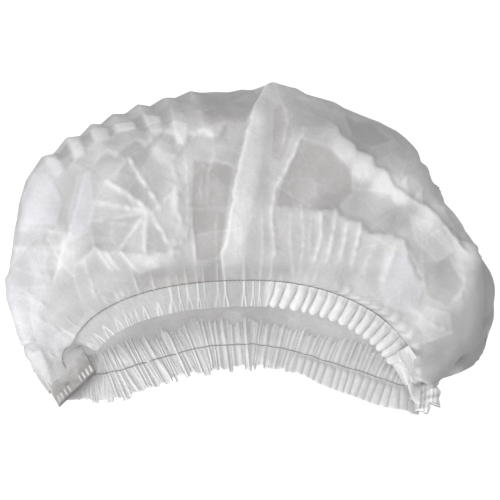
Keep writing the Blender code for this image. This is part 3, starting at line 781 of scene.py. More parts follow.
# Tone patches, some with a little height, paint light and shade: layers above zero make a place lighter and
# below zero paint shade, as along the right edge and at the upper right, and the tint is a painted cool or
# warm cast.
PATCHES = {
    # name: (middle, reaches, turned in degrees, edge power, height, layers, tint: -1 warm, 1 cool)
    "left_edge": ((20, 270), (40, 120), 8, 2, 0.0, 0.24, 0.6),
    "left_low": ((42, 330), (36, 62), -18, 2, 0.0, 0.60, 0.4),
    "band_white": ((47, 176), (22, 16), -40, 2, 0.3, 0.45, 1.0),
    "band_spot_1": ((66, 245), (4, 9), 0, 2, 0.4, 0.60, 0.6),
    "band_spot_2": ((61, 264), (5, 7), 0, 2, 0.4, 0.70, 0.4),
    "edge_spot": ((20, 222), (8, 7), 0, 2, 0.3, 0.50, 0.6),
    "rough_spot": ((158, 153), (7, 12), -35, 2, 0.3, 0.60, 0.3),
    "mound_spot": ((155, 261), (7, 6), 0, 2, 0.3, 0.50, 0.3),
    "star_field": ((130, 215), (48, 44), 0, 4, 0.0, -0.02, 0.0),
    "warm_low": ((190, 283), (60, 16), 5, 4, 0.0, -0.20, -0.8),
    "grey_top": ((215, 108), (62, 15), 4, 4, 0.0, -0.30, -0.1),
    "grey_peak": ((296, 108), (36, 16), -22, 4, 0.0, 0.22, 0.0),
    "warm_top": ((218, 120), (22, 8), 4, 4, 0.0, -0.05, -0.9),
    "flap_bright": ((247, 196), (9, 66), 11, 4, 0.0, 0.30, 0.1),
    "flap_low": ((237, 246), (15, 16), 5, 4, 0.4, 0.35, 0.4),
    "flap_grey": ((262, 150), (11, 46), 10, 4, 0.0, -0.15, 0.0),
    "warm_low_right": ((272, 236), (10, 18), 0, 4, 0.0, -0.20, -0.7),
    "cloud_1": ((344, 152), (11, 13), -35, 4, 1.0, 0.40, 0.0),
    "cloud_2": ((363, 171), (12, 11), -30, 4, 1.4, 0.80, 0.5),
    "cloud_3": ((384, 185), (13, 10), -35, 4, 1.2, 0.75, 0.2),
    "cloud_4": ((400, 196), (9, 10), -30, 4, 1.0, 0.60, 0.0),
    "cloud_5": ((428, 215), (18, 11), -38, 4, 1.0, 0.45, 0.0),
    "upper_right": ((384, 135), (54, 22), -38, 4, 0.0, -0.26, 0.0),
    "right_lap_dark": ((405, 215), (44, 12), -22, 4, -0.6, -0.20, 0.0),
    "tuck_field": ((350, 240), (36, 26), -12, 4, 0.0, 0.02, 0.0),
    "right_grey": ((440, 262), (26, 36), 10, 4, 0.0, -0.10, -0.1),
    "right_edge": ((480, 296), (16, 84), 8, 4, 0.0, -0.62, -0.2),
    "right_low": ((452, 336), (24, 34), 10, 4, 0.0, -0.40, -0.2),
    "hem_shade": ((230, 270), (150, 8), 0, 4, 0.0, -0.12, 0.0),
}
# Flat panels paint light and shade on facets: each is lighter or darker, and cool or warm, as its facet would
# be lit. The pad_ panels are painted light on the lit sides of the edge's lobes, the shade_ panels painted
# shade on their other sides, and the star_ panels the lit and shaded facets round the star crease.
PANELS = {
    # name: (height, layers, tint, corners, clockwise as seen)
    "warm_left": (-0.4, -0.20, -1.0, (
        (194, 160), (234, 166), (228, 208), (221, 256), (197, 262), (192, 210))),
    "warm_top": (0.0, -0.08, -0.9, ((200, 112), (249, 112), (246, 125), (205, 128))),
    "warm_right": (-0.5, -0.24, -1.0, (
        (300, 143), (330, 152), (350, 170), (352, 192), (340, 205), (317, 211), (276, 207), (280, 188))),
    "warm_strip": (0.0, -0.14, -0.7, ((273, 112), (288, 112), (292, 140), (281, 165), (271, 160))),
    "cool_right": (0.9, 0.12, 1.0, ((385, 250), (405, 255), (422, 292), (412, 311), (386, 304), (380, 285))),
    "cool_left": (0.4, 0.22, 1.0, ((80, 178), (92, 174), (95, 205), (90, 232), (72, 240), (70, 218))),
    "star_dark_1": (0.0, -0.22, 0.0, ((152, 210), (110, 182), (130, 162), (160, 206))),
    "star_light_1": (0.1, 0.06, 0.0, ((148, 211), (96, 202), (108, 182))),
    "star_light_2": (0.1, 0.12, 0.2, ((148, 213), (92, 221), (96, 203))),
    "star_dark_2": (0.0, -0.12, 0.0, ((146, 214), (121, 247), (96, 247), (92, 222))),
    "star_light_3": (0.1, 0.08, 0.2, ((147, 214), (146, 252), (121, 248))),
    "star_dark_3": (0.0, -0.10, 0.0, ((150, 214), (172, 248), (147, 252))),
    "star_light_4": (0.1, 0.10, 0.0, ((153, 212), (176, 190), (182, 220), (174, 248))),
    "star_dark_4": (0.0, -0.10, 0.0, ((132, 160), (158, 140), (172, 152), (176, 188), (162, 206))),
    "mound_light_1": (0.3, 0.22, 0.0, ((100, 250), (108, 250), (121, 268), (113, 270))),
    "mound_light_2": (0.3, 0.22, 0.0, ((124, 252), (150, 254), (160, 266), (140, 273))),
    "band_dark_1": (0.0, -0.14, 0.0, ((12, 228), (66, 233), (63, 247), (11, 246))),
    "band_dark_2": (0.0, -0.12, 0.0, ((9, 266), (60, 268), (55, 285), (8, 287))),
    "band_light": (0.3, 0.25, 0.8, ((28, 180), (52, 176), (64, 200), (58, 224), (16, 224), (20, 202))),
    "pad_0": (0.4, 0.50, 0.9, ((48, 160), (57, 157), (66, 172), (60, 178))),
    "pad_1": (0.5, 0.50, 0.4, ((71, 144), (80, 140), (87, 156), (79, 160))),
    "pad_2": (0.5, 0.50, 0.1, ((92, 132), (108, 128), (112, 141), (99, 144))),
    "pad_3": (0.5, 0.50, 0.0, ((116, 124), (134, 121), (137, 130), (120, 132))),
    "pad_4": (0.5, 0.45, 0.0, ((143, 113), (160, 117), (163, 133), (153, 134))),
    "pad_5": (0.5, 0.40, 0.0, ((173, 121), (188, 127), (187, 145), (178, 146))),
    "pad_6": (0.3, 0.30, 0.0, ((198, 132), (214, 130), (214, 139), (201, 138))),
    "shade_1": (-0.4, -0.22, 0.0, ((56, 158), (68, 144), (77, 160), (68, 172))),
    "shade_2": (-0.4, -0.22, 0.0, ((82, 140), (91, 132), (98, 145), (88, 152))),
    "shade_3": (-0.4, -0.22, 0.0, ((105, 127), (114, 122), (119, 134), (112, 140))),
    "shade_4": (-0.4, -0.22, 0.0, ((131, 117), (141, 112), (151, 132), (138, 131))),
    "shade_5": (-0.4, -0.22, 0.0, ((157, 110), (170, 104), (175, 124), (164, 127))),
    "flap_corner": (0.3, 0.18, 0.0, ((262, 100), (275, 83), (290, 96), (276, 112))),
    "peak_dark": (0.0, -0.06, 0.0, ((292, 90), (336, 104), (330, 122), (290, 112))),
    "cloud_dark": (-0.3, -0.35, 0.0, ((345, 112), (372, 122), (392, 140), (372, 146), (352, 136))),
    "spike_1": (0.5, 0.45, 0.0, ((396, 186), (404, 179), (407, 198), (402, 196))),
    "spike_2": (0.5, 0.45, 0.0, ((411, 200), (419, 190), (421, 204), (416, 205))),
    "right_light": (0.2, 0.20, 0.0, ((408, 214), (436, 226), (452, 250), (436, 262), (414, 240))),
    "right_dark": (-0.2, -0.18, 0.0, ((420, 262), (448, 258), (462, 284), (446, 306), (426, 296))),
    "right_low_light": (0.2, 0.20, 0.3, ((424, 306), (448, 312), (452, 336), (430, 340), (416, 322))),
}
# Painted light and shade inside the mouth: lighter and darker patches, with a cool or warm tint, in the same
# columns as the patches.
INSIDE = {
    "cream": ((103, 342), (20, 26), -20, 4, 0.2, 1.10, 0.0),
    "warm_inner": ((127, 326), (11, 24), 3, 8, -0.3, 0.16, -0.8),
    "dark_inner": ((151, 326), (12, 22), -6, 8, 0.0, -0.10, 0.0),
    "warm_centre": ((178, 316), (15, 16), 3, 8, 0.0, 0.12, -1.0),
    "dark_centre": ((200, 314), (6, 16), 0, 8, 0.0, -0.12, 0.0),
    "warm_middle": ((216, 312), (11, 14), 0, 8, 0.0, 0.05, -0.9),
    "dark_middle": ((238, 312), (12, 16), 0, 8, 0.0, -0.16, 0.0),
    "warm_last": ((258, 313), (9, 14), 0, 8, 0.0, -0.06, -0.7),
    "grey_pocket": ((296, 315), (26, 12), 10, 4, 0.5, 0.05, 0.0),
    "right_inner": ((345, 340), (34, 16), 32, 4, 0.0, 0.10, -0.1),
}
print(len(STEPS), "steps,", len(RIDGES), "ridges,", len(PATCHES), "patches")


# %% Crown grid
COLUMNS, FRONT_ROWS, BACK_ROWS = 536, 134, 51
MM = 0.001
SINGLE_LAYER = 0.36
# The cap's outline in the view, in cells, from the left tab over the top to the right one.
OUTLINE = (
    (60, 401), (42, 385), (33, 368), (25, 350), (19, 332), (15, 320), (9, 302), (7, 290), (6, 279),
    (8, 270), (11, 256), (14, 240), (14, 230), (18, 214), (20, 200), (27, 178), (42.5, 156),
    (53.8, 153.5), (66, 138), (80, 136), (91, 124), (100, 124.5), (112.5, 113.5), (125, 113.5),
    (137.5, 104), (150, 106), (162.5, 98), (175, 97.5), (190, 90.7), (200, 92.5), (215, 91.5),
    (228, 92), (242, 89), (252, 89.5), (260, 87), (272, 81.6), (280, 84), (297, 88), (307, 94),
    (320, 97.5), (335, 102), (345, 108), (362, 115), (380, 122), (397, 131), (407, 139), (415, 147.5),
    (422, 157), (430, 164), (430.5, 170), (427, 179), (432, 182), (440, 185), (436, 194), (444, 201),
    (447, 209), (455, 223), (467, 226), (475, 237), (478, 248), (482, 261), (490, 271), (496, 282),
    (497, 293), (494, 305), (488, 318), (487, 326), (480, 335), (473, 350), (470, 362), (460, 372),
    (457, 385), (440, 389))


# How far out the near edge goes at most, in cells, along t. On the right the far edge shows behind it,
# which stays within the outline by FAR_WITHIN cells where the near edge has its teeth.
NEAR_MOST = ((0.0, 18), (0.74, 18), (0.79, 5), (0.84, 8), (0.87, 9), (0.91, 12), (0.94, 18), (1.0, 18))
FAR_WITHIN = 3.0


def creases(place, table):
    """Height in metres, layers and tint from a table of patches: bells of the distance in their own
    turned, stretched frames."""
    height, layers, tint = (np.zeros(place.shape[:-1]) for _ in range(3))
    for middle, reach, turned, power, rise, thickness_and_painted_light, cool in table.values():
        rel = place - middle
        c, s = math.cos(math.radians(turned)), math.sin(math.radians(turned))
        x = (rel[..., 0] * c + rel[..., 1] * s) / reach[0]
        y = (rel[..., 1] * c - rel[..., 0] * s) / reach[1]
        near = np.exp(-((x**2 + y**2) ** (power / 2)))
        height += rise * MM * near
        layers += thickness_and_painted_light * near
        tint += cool * near
    return height, layers, tint


def drawn_creases(place):
    """Height and layers of steps and ridges.

    A step is an ease from 0 to 1 across its line, times a decay beyond it. A ridge is a bell across
    its line.
    """
    height, layers = np.zeros(place.shape[:-1]), np.zeros(place.shape[:-1])
    place = place + np.stack([0.45 * wander(place, 17, 51, 2), 0.45 * wander(place, 17, 52, 2)], axis=-1)
    uneven = 0.75 + 0.35 * wander(place, 9, 53, 2)
    for rise, edge, reach, thickness_and_painted_light, glow, line in STEPS.values():
        away, run, length = from_line(place, line)
        ends = smooth(run / 20) * smooth((length - run) / 20)
        raised = smooth(away / edge + 0.5) * ends
        beyond = np.maximum(away, 0)
        height += rise * MM * raised * np.exp(-beyond / reach)
        layers += thickness_and_painted_light * raised * np.exp(-beyond / glow)
        # A painted shadow: a darker band just below each step's edge, on its lower side.
        layers -= 0.18 * np.exp(-np.abs(away + 3) / 3) * (away < 0) * ends
    for rise, width, thickness_and_painted_light, line in RIDGES.values():
        away, run, length = from_line(place, line)
        ends = smooth((run + 5) / 12) * smooth((length - run + 5) / 12)
        near = np.exp(-np.abs(away / width) ** 1.5) * ends * uneven
        height += rise * MM * near
        layers += thickness_and_painted_light * near
    return height, layers


def flat_panels(place):
    """Height, layers and tint of flat panels with straight, sharp sides.

    How far inside a panel a place is, is the least of its distances to the right of each side.
    """
    height, layers, tint = (np.zeros(place.shape[:-1]) for _ in range(3))
    for rise, thickness_and_painted_light, cool, corners in PANELS.values():
        corners = np.array(corners, float)
        depth = np.full(place.shape[:-1], 1e9)
        for a, b in zip(corners, np.roll(corners, -1, axis=0)):
            step = (b - a) / np.hypot(*(b - a))
            depth = np.minimum(depth, step[0] * (place[..., 1] - a[1]) - step[1] * (place[..., 0] - a[0]))
        within = smooth(depth / 3.0 + 0.5)
        side = np.exp(-((depth / 1.6) ** 2))
        # The layers and tint paint each panel's light and shade; its sides get a low ridge and a painted
        # highlight.
        height += rise * MM * within + 0.15 * MM * side
        layers += thickness_and_painted_light * within + 0.10 * side
        tint += cool * within
    return height, layers, tint


def softened(values):
    """The mean of each value and its neighbours in the grid, which count half."""
    for axis in (0, 1):
        near = np.concatenate([values.take([0], axis), values, values.take([-1], axis)], axis)
        count = values.shape[axis]
        before, after = (near.take(range(k, k + count), axis) for k in (0, 2))
        values = 0.5 * values + 0.25 * (before + after)
    return values


def facets(points, pitch, seed, count=5):
    """Crumpled cloth: sums of triangular waves in a few directions, each faded in and out slowly."""
    draw = np.random.default_rng(seed)
    total = 0.0
    for k in range(count):
        way = draw.normal(size=3)
        way *= draw.uniform(0.7, 1.4) / pitch / np.linalg.norm(way)
        mask = smooth(wander(points, pitch * 2.6, seed * 31 + k, 3) + 0.35)
        total = total + saw(points @ way + draw.uniform()) * mask
    return total / count


def crown_grid():
    """Even columns along the crest, and rows that are closer on the front than on the floor."""
    t = evened(crest_line, np.linspace(0, 1, COLUMNS))[0]
    share = np.concatenate([np.linspace(0, 0.5, FRONT_ROWS, endpoint=False), np.linspace(0.5, 1, BACK_ROWS)])
    return np.broadcast_to(t, (len(share), COLUMNS)), np.broadcast_to(share[:, None], (len(share), COLUMNS))


def section_place(share):
    """The surface's parameter at a share of the section's length."""
    return evened(through_rows(TABLE, FINE_SHARES)[:, :2], np.clip(share, 0, 1))[0]


t, share = crown_grid()
crest_shares, crest_length = evened(crest_line, FINE_SHARES)
s = np.interp(t, crest_shares, FINE_SHARES) * crest_length
fade_t = smooth(t / PLEAT_FADE) * smooth((1 - t) / PLEAT_FADE)
fade_v = smooth((np.minimum(share, 1 - share) * SECTION_ARC - 0.004) / (PLEAT_PITCH / 2))
v = section_place(share)
base = body(t, v)
outward = directions(body, t, v)[2]
facing = smooth((outward @ BACK + 0.02) / 0.22)
place = seen(base)
print("crown grid", t.shape)


# %% Relief of the crown
NEAR_RIM = 0.020
PLEAT_SHOWN = 0.28
THIN_FOLD_HEIGHT, BEAD_HEIGHT = 0.0007, 0.0016
BEADS_FROM = 325
CRUMPLES = ((0.0010, 0.034, 35), (0.0006, 0.014, 36))
pleats = max(3, round(SECTION_ARC / PLEAT_PITCH))
ridge = saw(share * pleats - 0.5)
rounded_ridge = 0.5 * ridge + 0.5 * np.sin(ridge * math.pi / 2)
pleat = PLEAT_DEPTH / 2 * through_rows(TABLE, v)[..., 4] * rounded_ridge * PLEAT_SHOWN
rim_wave, rim_layers_and_painted_light = 0.0, 0.0
for which, gathers, seed in (("front", FRONT_GATHERS, 21), ("back", BACK_GATHERS, 22)):
    along_rim = share_of(which, t).copy()
    near_rim = (share[:, 0] if which == "front" else 1 - share[:, 0]) * SECTION_ARC < NEAR_RIM
    chain = seen(rim(which, FINE_SHARES)[0])[::4]
    run = from_line(place[near_rim], chain)[1]
    chain_run = np.concatenate([[0.0], np.cumsum(np.linalg.norm(np.diff(chain, axis=0), axis=1))])
    along_rim[near_rim] = np.interp(run, chain_run, FINE_SHARES[::4])
    phase = gather_phase(along_rim, gathers, seed)
    from_rim = (share if which == "front" else 1 - share) * SECTION_ARC
    length = drawn(np.round(phase), 0.003, 0.011, seed + 5)
    tall = drawn(np.round(phase), 0.2, 1.0, seed + 6) * tab_fade(along_rim)
    fading = np.exp(-((from_rim / length) ** 2))
    right = smooth((place[..., 0] - BEADS_FROM) / 25) if which == "front" else 0.0
    thin = np.exp(-(((phase - np.round(phase)) / 0.11) ** 2))
    bead_reach = drawn(np.floor(phase + 0.5), 0.0020, 0.0046, seed + 7)
    beads = lobes(phase + 0.5, 0.9) * smooth(from_rim / 0.001) * np.exp(-((from_rim / bead_reach) ** 4))
    rim_wave = rim_wave + THIN_FOLD_HEIGHT * thin * tall * fading * (1 - right)
    rim_wave = rim_wave + BEAD_HEIGHT * beads * right * tab_fade(along_rim)
    # The rim's thin folds and beads are lighter on their crests: partly thicker gathered cloth, partly
    # painted light.
    rim_layers_and_painted_light = rim_layers_and_painted_light + 0.75 * thin**1.5 * tall * fading * (1 - right) + 0.55 * beads**2 * right
broad = 0.0008 * wander(base, 0.050, 31, 3)
crumple = sum(rise * facets(base, pitch, seed) for rise, pitch, seed in CRUMPLES)
height, layers, tint = (a + b for a, b in zip(creases(place, PATCHES), flat_panels(place)))
more_height, crease_layers_and_painted_light = drawn_creases(place)
drawn_relief = softened((height + more_height) * facing * smooth(share * SECTION_ARC / 0.010))
relief = (pleat + broad + crumple) * fade_t * fade_v + drawn_relief
relief = relief + rim_wave + 0.25 * crumple
_, inner_painted_light_and_shade, inner_painted_tint = creases(place, INSIDE)
inside = smooth(-(outward @ BACK) / 0.2) * smooth((share - 0.55) / 0.05)
print("relief from", round(1000 * relief.min(), 1), "to", round(1000 * relief.max(), 1), "mm")


# %% Where the crown's edge stands in the view
NEAR_EDGE_WITHIN = 0.12
FAR_EDGE_SHARES = (0.50, 0.90)
MOST_IN, MOST_OUT, MOST_AT_ONCE = 16, 18, 6


def to_outline(raised, far=False, rounds=4):
    """How far each column's edge is moved outwards, in metres, so that it meets the drawn outline,
    and the share at which that edge is.

    The near edge is where a column turns away from the viewer: the place there that stands furthest
    out. The far edge is the place that stands furthest out behind it, lower down. The way to the
    outline is gone a few times, each time by the distance that is left.
    """
    columns = np.arange(COLUMNS)
    row = np.argmax(outward[8:] @ BACK < 0, axis=0) + 8
    way = outward[row, columns]
    flat = np.stack([way[:, 0], -(way @ UP)], axis=-1)
    flat /= np.linalg.norm(flat, axis=-1, keepdims=True)
    stands = seen(base + outward * raised[..., None])
    out = np.sum((stands - stands[row, columns]) * flat, axis=-1)
    first, last = FAR_EDGE_SHARES
    elsewhere = np.abs(share - share[row, columns]) > NEAR_EDGE_WITHIN
    out[(share < first) | (share > last) if far else elsewhere] = -1e9
    furthest = np.argmax(out, axis=0)
    edge = stands[furthest, columns]
    gone = np.zeros(COLUMNS)
    for _ in range(rounds):
        left = from_line(edge + flat * gone[:, None], OUTLINE)[0]
        gone += np.clip(left, -MOST_AT_ONCE, MOST_AT_ONCE)
    ends = smooth(t[0] / 0.05) * smooth((1 - t[0]) / 0.025)
    return np.clip(gone, -MOST_IN, MOST_OUT) * PIXEL * ends, share[furthest if far else row, 0]


def windowed(values, count):
    """A running mean over a count of columns, with more weight in its middle."""
    weights = np.hanning(count) / np.hanning(count).sum()
    return np.convolve(np.pad(values, count // 2, mode="edge"), weights, mode="valid")


# The near edge follows the outline slowly over a wide strip, and its teeth and scallops quickly at the edge.
moved, edge_share = to_outline(relief)
moved = np.minimum(moved, np.interp(t[0], *zip(*NEAR_MOST)) * PIXEL)
slow, edge_share = windowed(moved, 33), windowed(edge_share, 33)
taller_teeth = 1 + 0.5 * smooth((t[0] - 0.695) / 0.015)
quick = (moved - slow) * taller_teeth * (1 - smooth((t[0] - 0.742) / 0.014))
from_edge = share - edge_share
lean = 0.15 + 0.25 * smooth((0.35 - t) / 0.2)
quick_at = np.interp((s + lean * from_edge * SECTION_ARC).ravel(), s[0], quick).reshape(s.shape)
quick_reach = 0.07 - 0.020 * smooth((t - 0.6) / 0.1)
shift = slow * np.exp(-((from_edge / 0.20) ** 2))
shift = shift + quick_at * np.exp(-np.abs(from_edge / quick_reach) ** 2.2)
far_moved, far_share = to_outline(relief + shift, far=True)
far_moved = np.maximum(far_moved, -np.interp(t[0], (0.78, 0.83), (13, 3)) * PIXEL)
far_moved = windowed(far_moved - FAR_WITHIN * PIXEL * (1 - smooth((t[0] - 0.750) / 0.03)), 25)
far_moved = far_moved * smooth((t[0] - 0.690) / 0.02) * smooth((0.965 - t[0]) / 0.02)
shift = shift + far_moved * np.exp(-np.abs((share - windowed(far_share, 61)) / 0.17) ** 2.5)
for which, by in (("near", moved), ("far", far_moved)):
    print("the", which, "edge moves by", round(1000 * by.min(), 1), "to", round(1000 * by.max(), 1), "mm")


# %% Crown cloth
points = base + outward * (relief + shift)[..., None]
points[..., 2] = np.maximum(points[..., 2], 0.0002 + 0.0006 * np.clip(1 + outward[..., 2], 0, 1))
# Painted light and shade at the edge: the scallops are lighter where they stand out and darker where they dip
# in, and a darker band follows the edge where the cloth turns away.
scallop_painted_light_and_shade = quick_at / MM * 0.16 * np.exp(-((from_edge / 0.09) ** 2))
edge_painted_shade = -0.30 * np.exp(-((from_edge / 0.020) ** 2))
# The layers sum folds with painted light and shade from the tables; inside the mouth the cloth is made darker
# as painted shade, with the inside's painted patches.
layers = SINGLE_LAYER + (layers + crease_layers_and_painted_light + scallop_painted_light_and_shade + edge_painted_shade) * facing + inner_painted_light_and_shade * inside
layers = layers + rim_layers_and_painted_light + 0.08 * wander(base, 0.022, 41, 3) - 0.10 * inside
uv = np.stack([s, share * SECTION_ARC], axis=-1)
faces = grid_faces(COLUMNS, len(share))
tint = tint * facing + inner_painted_tint * inside
crown = cloth_piece("crown_cloth", points, faces, CROWN_CLOTH, uv, layers, tint)
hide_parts("crown")
crown_area = mesh_area(points, faces)
print("crown area", round(crown_area, 4), "m2")

# %% [markdown]
# ## The hems
# Each hem is the same cloth, folded back under the edge: from the thread out to the fold, back under
# itself past the thread, and a little way into the crown, where its raw edge ends.


# %% Hem cloth
TUBE_HEIGHT, FORK_HEIGHT, BACK_FOLD_HEIGHT = 0.0024, 0.0006, 0.0014
TUBES_FROM, LOOPS_UP_TO, STRIP_TUBES_FROM = 262, 172, 285
BETWEEN_LAYERS = 0.0009


def hem_profile(out=18, turn=6, back=16, flap=20):
    """For each row: its place from the thread to the fold (0 to 1, minus for the flap) and its side,
    which is 0 for the outer layer and 1 for the inner one."""
    bend = 0.03
    place = np.concatenate([
        np.linspace(0, 1 - bend, out, endpoint=False),
        1 - bend + bend * np.sin(np.linspace(0, math.pi, turn)),
        np.linspace(1 - bend, 0, back, endpoint=False)[1:], -np.linspace(0, 1, flap)])
    half_turn = (1 - np.cos(np.linspace(0, math.pi, turn))) / 2
    return place, np.concatenate([np.zeros(out), half_turn, np.ones(back - 1 + flap)])


def front_waves(phase, place, across):
    """Puffed tubes right of the middle. Left of it, flat cloth with forked ridges, or with small loops
    at the fold further left. Gives height, layers and how far the fold reaches. The layers are partly
    painted light and shade: darker in the gaps between tubes, lighter towards the fold, and lighter
    on the forked ridges as a painted highlight."""
    right = smooth((across - TUBES_FROM) / 12)
    loops = smooth((LOOPS_UP_TO - across) / 14)
    tube_lean = 0.55 * np.exp(-(((across - 285) / 60) ** 2))
    at = phase + 0.5 + tube_lean * place - 0.30 * place * (1 - place)
    tube = lobes(at, 0.75) * (0.25 + 0.75 * smooth(place / 0.30))
    tube = tube * np.sqrt(np.clip(1 - np.clip((place - 0.62) / 0.40, 0, 1) ** 2, 0.05, 1))
    gap = 1 - smooth(lobes(at, 1.0) / 0.42)
    strength = drawn(np.round(phase), 0.35, 1.0, 61)
    spread = (0.03 + 0.19 * smooth((place - 0.42) / 0.5)) * drawn(np.round(phase), 0.7, 1.3, 62)
    fork = np.exp(-(((np.abs(phase - np.round(phase)) - spread) / 0.065) ** 2)) * strength
    fork = fork * (1 - loops * (1 - smooth((place - 0.40) / 0.25)))
    height = TUBE_HEIGHT * tube * right + FORK_HEIGHT * fork * (1 - right)
    # Painted shade in the gaps between tubes, painted light towards the fold and on the forks.
    rounded = 0.14 * smooth((place - 0.6) / 0.3) - 0.05 * lobes(at, 4.0) + 0.10 * np.sin(17 * at + 9 * place)
    layers = (0.86 - 0.62 * gap + rounded) * right
    layers = layers + (0.20 + 0.95 * fork + 0.12 * loops) * (1 - right)
    return height, layers, -0.22 * (1 - lobes(at, 0.55)) * right


# How much longer than usual the back flap is, and the strip beyond the thread, at places across the view.
FLAP_LONGER = (
    (110, 0.0), (136, 0.30), (153, 0.05), (182, 0.10), (199, 0.35), (232, 0.12), (257, 0.15), (281, 0.05),
    (306, 0.0), (331, 0.10), (356, 0.20), (380, 0.15), (400, 0.0))
STRIP_LONGER = (
    (78, 0.10), (95, 0.28), (112, 0.22), (130, 0.06), (170, 0.02), (200, 0.08), (235, 0.06), (262, 0.0),
    (290, -0.12), (312, -0.12), (330, 0.04), (350, 0.10), (385, 0.14), (410, 0.06))


def back_waves(phase, place, across):
    """Narrow sharp ridges in two sizes that slant on the left. On the right, the strip beyond the
    thread is puffed into tubes. Gives height, layers and how far each ridge reaches. The layers paint
    light on the crests of the ridges and tubes and shade in the valleys between them."""
    right = smooth((across - STRIP_TUBES_FROM) / 25)
    slant = 0.40 * smooth((250 - across) / 120) + 0.10
    at = phase - slant * place
    tall = drawn(np.round(at), 0.35, 1.0, 71)
    wave = 0.75 * folds(at, 0.75) * tall + 0.35 * folds(at * 1.63 + 0.3, 0.8)
    tube = lobes(phase * 0.85 + 0.1 - 0.35 * place, 0.6) * smooth(place / 0.25)
    strip = right * smooth(place / 0.10)
    waist = 0.45 + 0.55 * smooth(np.abs(place) / 0.35)
    height = (BACK_FOLD_HEIGHT * wave * (1 - strip) + BACK_FOLD_HEIGHT * tube * strip) * waist
    # Lighter on the crests of ridges and tubes and grey in the valleys between them: painted light and shade.
    layers = (0.74 + 0.70 * wave**1.3) * (1 - strip) + (0.70 + 0.55 * tube**1.3) * strip
    ragged = 0.30 * (drawn(np.round(at * 1.3), 0, 1, 72) - 0.5) + 0.30 * (wave - 0.4) * (place < 0)
    reach = ragged * (1 - strip) + 0.07 * (tube - 0.6) * strip
    reach = reach + np.interp(across, *zip(*(FLAP_LONGER if place < 0 else STRIP_LONGER)))
    return height, layers, reach


# Loose folds of the front hem beside the right tab: cells of the view for the upper left, upper right,
# lower right and lower left corner, with the height there in mm, and the layers.
END_FOLDS = {
    "wide": ((396, 351, 23), (407, 345, 24), (426, 371, 13), (413, 383, 12), 0.95),
    "narrow": ((388, 359, 16), (398, 356, 18), (412, 380, 11), (404, 385, 9), 0.90),
}


def end_fold(corners, layers, along=24, across=14):
    """A strip between four corners, as a grid: hollow in its middle, thicker at its folded sides."""
    cell = np.array(corners, float)
    up = cell[:, 2] * MM
    lie = ((395 - cell[:, 1]) * PIXEL - up * math.cos(ELEVATION)) / math.sin(ELEVATION)
    ends = np.stack([(cell[:, 0] - 252) * PIXEL, lie, up], axis=1) + SHIFT
    a, b = (x.ravel()[:, None] for x in np.meshgrid(np.linspace(0, 1, across), np.linspace(0, 1, along)))
    points = (ends[0] * (1 - a) + ends[1] * a) * (1 - b) + (ends[3] * (1 - a) + ends[2] * a) * b
    side = (2 * a[:, 0] - 1) ** 2
    points += BACK * (0.0012 * side - 0.0006 + 0.0004 * np.sin(9 * b[:, 0]))[:, None]
    # Its tone is lighter at the folded sides, where the cloth is doubled, and darker in the hollow middle,
    # which is painted shade.
    return points, grid_faces(across, along), layers - 0.25 * (1 - side) + 0.08 * np.sin(23 * a + 7 * b)[:, 0]


def make_hem(which, gathers, per_gather, seed):
    """A hem as a grid: rows follow its profile, columns follow the rim, and waves lift it to the viewer."""
    columns = gathers * per_gather + 1
    shares = np.linspace(0, 1, columns)
    phase = gather_phase(shares, gathers, seed)
    fade = tab_fade(shares)
    line, free, outward, _ = rim(which, shares)
    across = seen(line)[:, 0]
    waves = front_waves if which == "front" else back_waves
    ending = smooth((shares - 0.90) / 0.05) if which == "front" else np.zeros(columns)
    rows, tones = [], []
    for place, inner in zip(*hem_profile()):
        height, layers, reach = waves(phase, place, across)
        stretch = 1 + reach * fade * min(abs(place) * 1.5, 1)
        gone = (HEM_REACH if place > 0 else FLAP_REACH) * abs(place) * stretch
        gone = gone * (1 - 0.25 * ending)
        spot, way = line + free * gone[:, None], outward
        if place < 0:
            spot, _, way, _ = rim(which, shares, gone)
        lift = height * fade + 0.0012 * ending * math.sin(math.pi * min(abs(place), 1)) ** 0.5
        if which == "front":
            offset = lift - BETWEEN_LAYERS * inner - 0.00005
        else:
            offset = -0.0004 - lift - BETWEEN_LAYERS * inner
        rows.append(spot + way * offset[:, None])
        plain = 0.95 * ending + 0.45 * (1 - ending)
        tones.append(layers * fade * (1 - ending) + plain * (1 - fade * (1 - ending)))
    points = np.array(rows)
    points[..., 2] = np.maximum(points[..., 2], 0.0004)
    along = shares * gathers * 0.0134
    down = np.cumsum(np.abs(np.gradient(hem_profile()[0]))) * HEM_REACH
    uv = np.stack(np.broadcast_arrays(along[None, :], down[:, None]), axis=-1)
    faces = grid_faces(columns, len(rows))
    points, uv, tones = points.reshape(-1, 3), uv.reshape(-1, 2), np.array(tones).ravel()
    if which == "front":
        for *corners, thickness_and_painted_light in END_FOLDS.values():
            more, quads, more_tones = end_fold(corners, thickness_and_painted_light)
            faces = np.concatenate([faces, quads + len(points)])
            points, uv = np.concatenate([points, more]), np.concatenate([uv, more[:, :2]])
            tones = np.concatenate([tones, more_tones])
    piece = cloth_piece(which + "_hem_cloth", points, faces, HEM_CLOTH, uv, tones)
    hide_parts(which + "_hem")
    return piece, mesh_area(points, faces)


front_hem, front_area = make_hem("front", FRONT_GATHERS, 20, 21)
back_hem, back_area = make_hem("back", BACK_GATHERS, 18, 22)
print("hem areas", round(front_area, 4), round(back_area, 4), "m2")


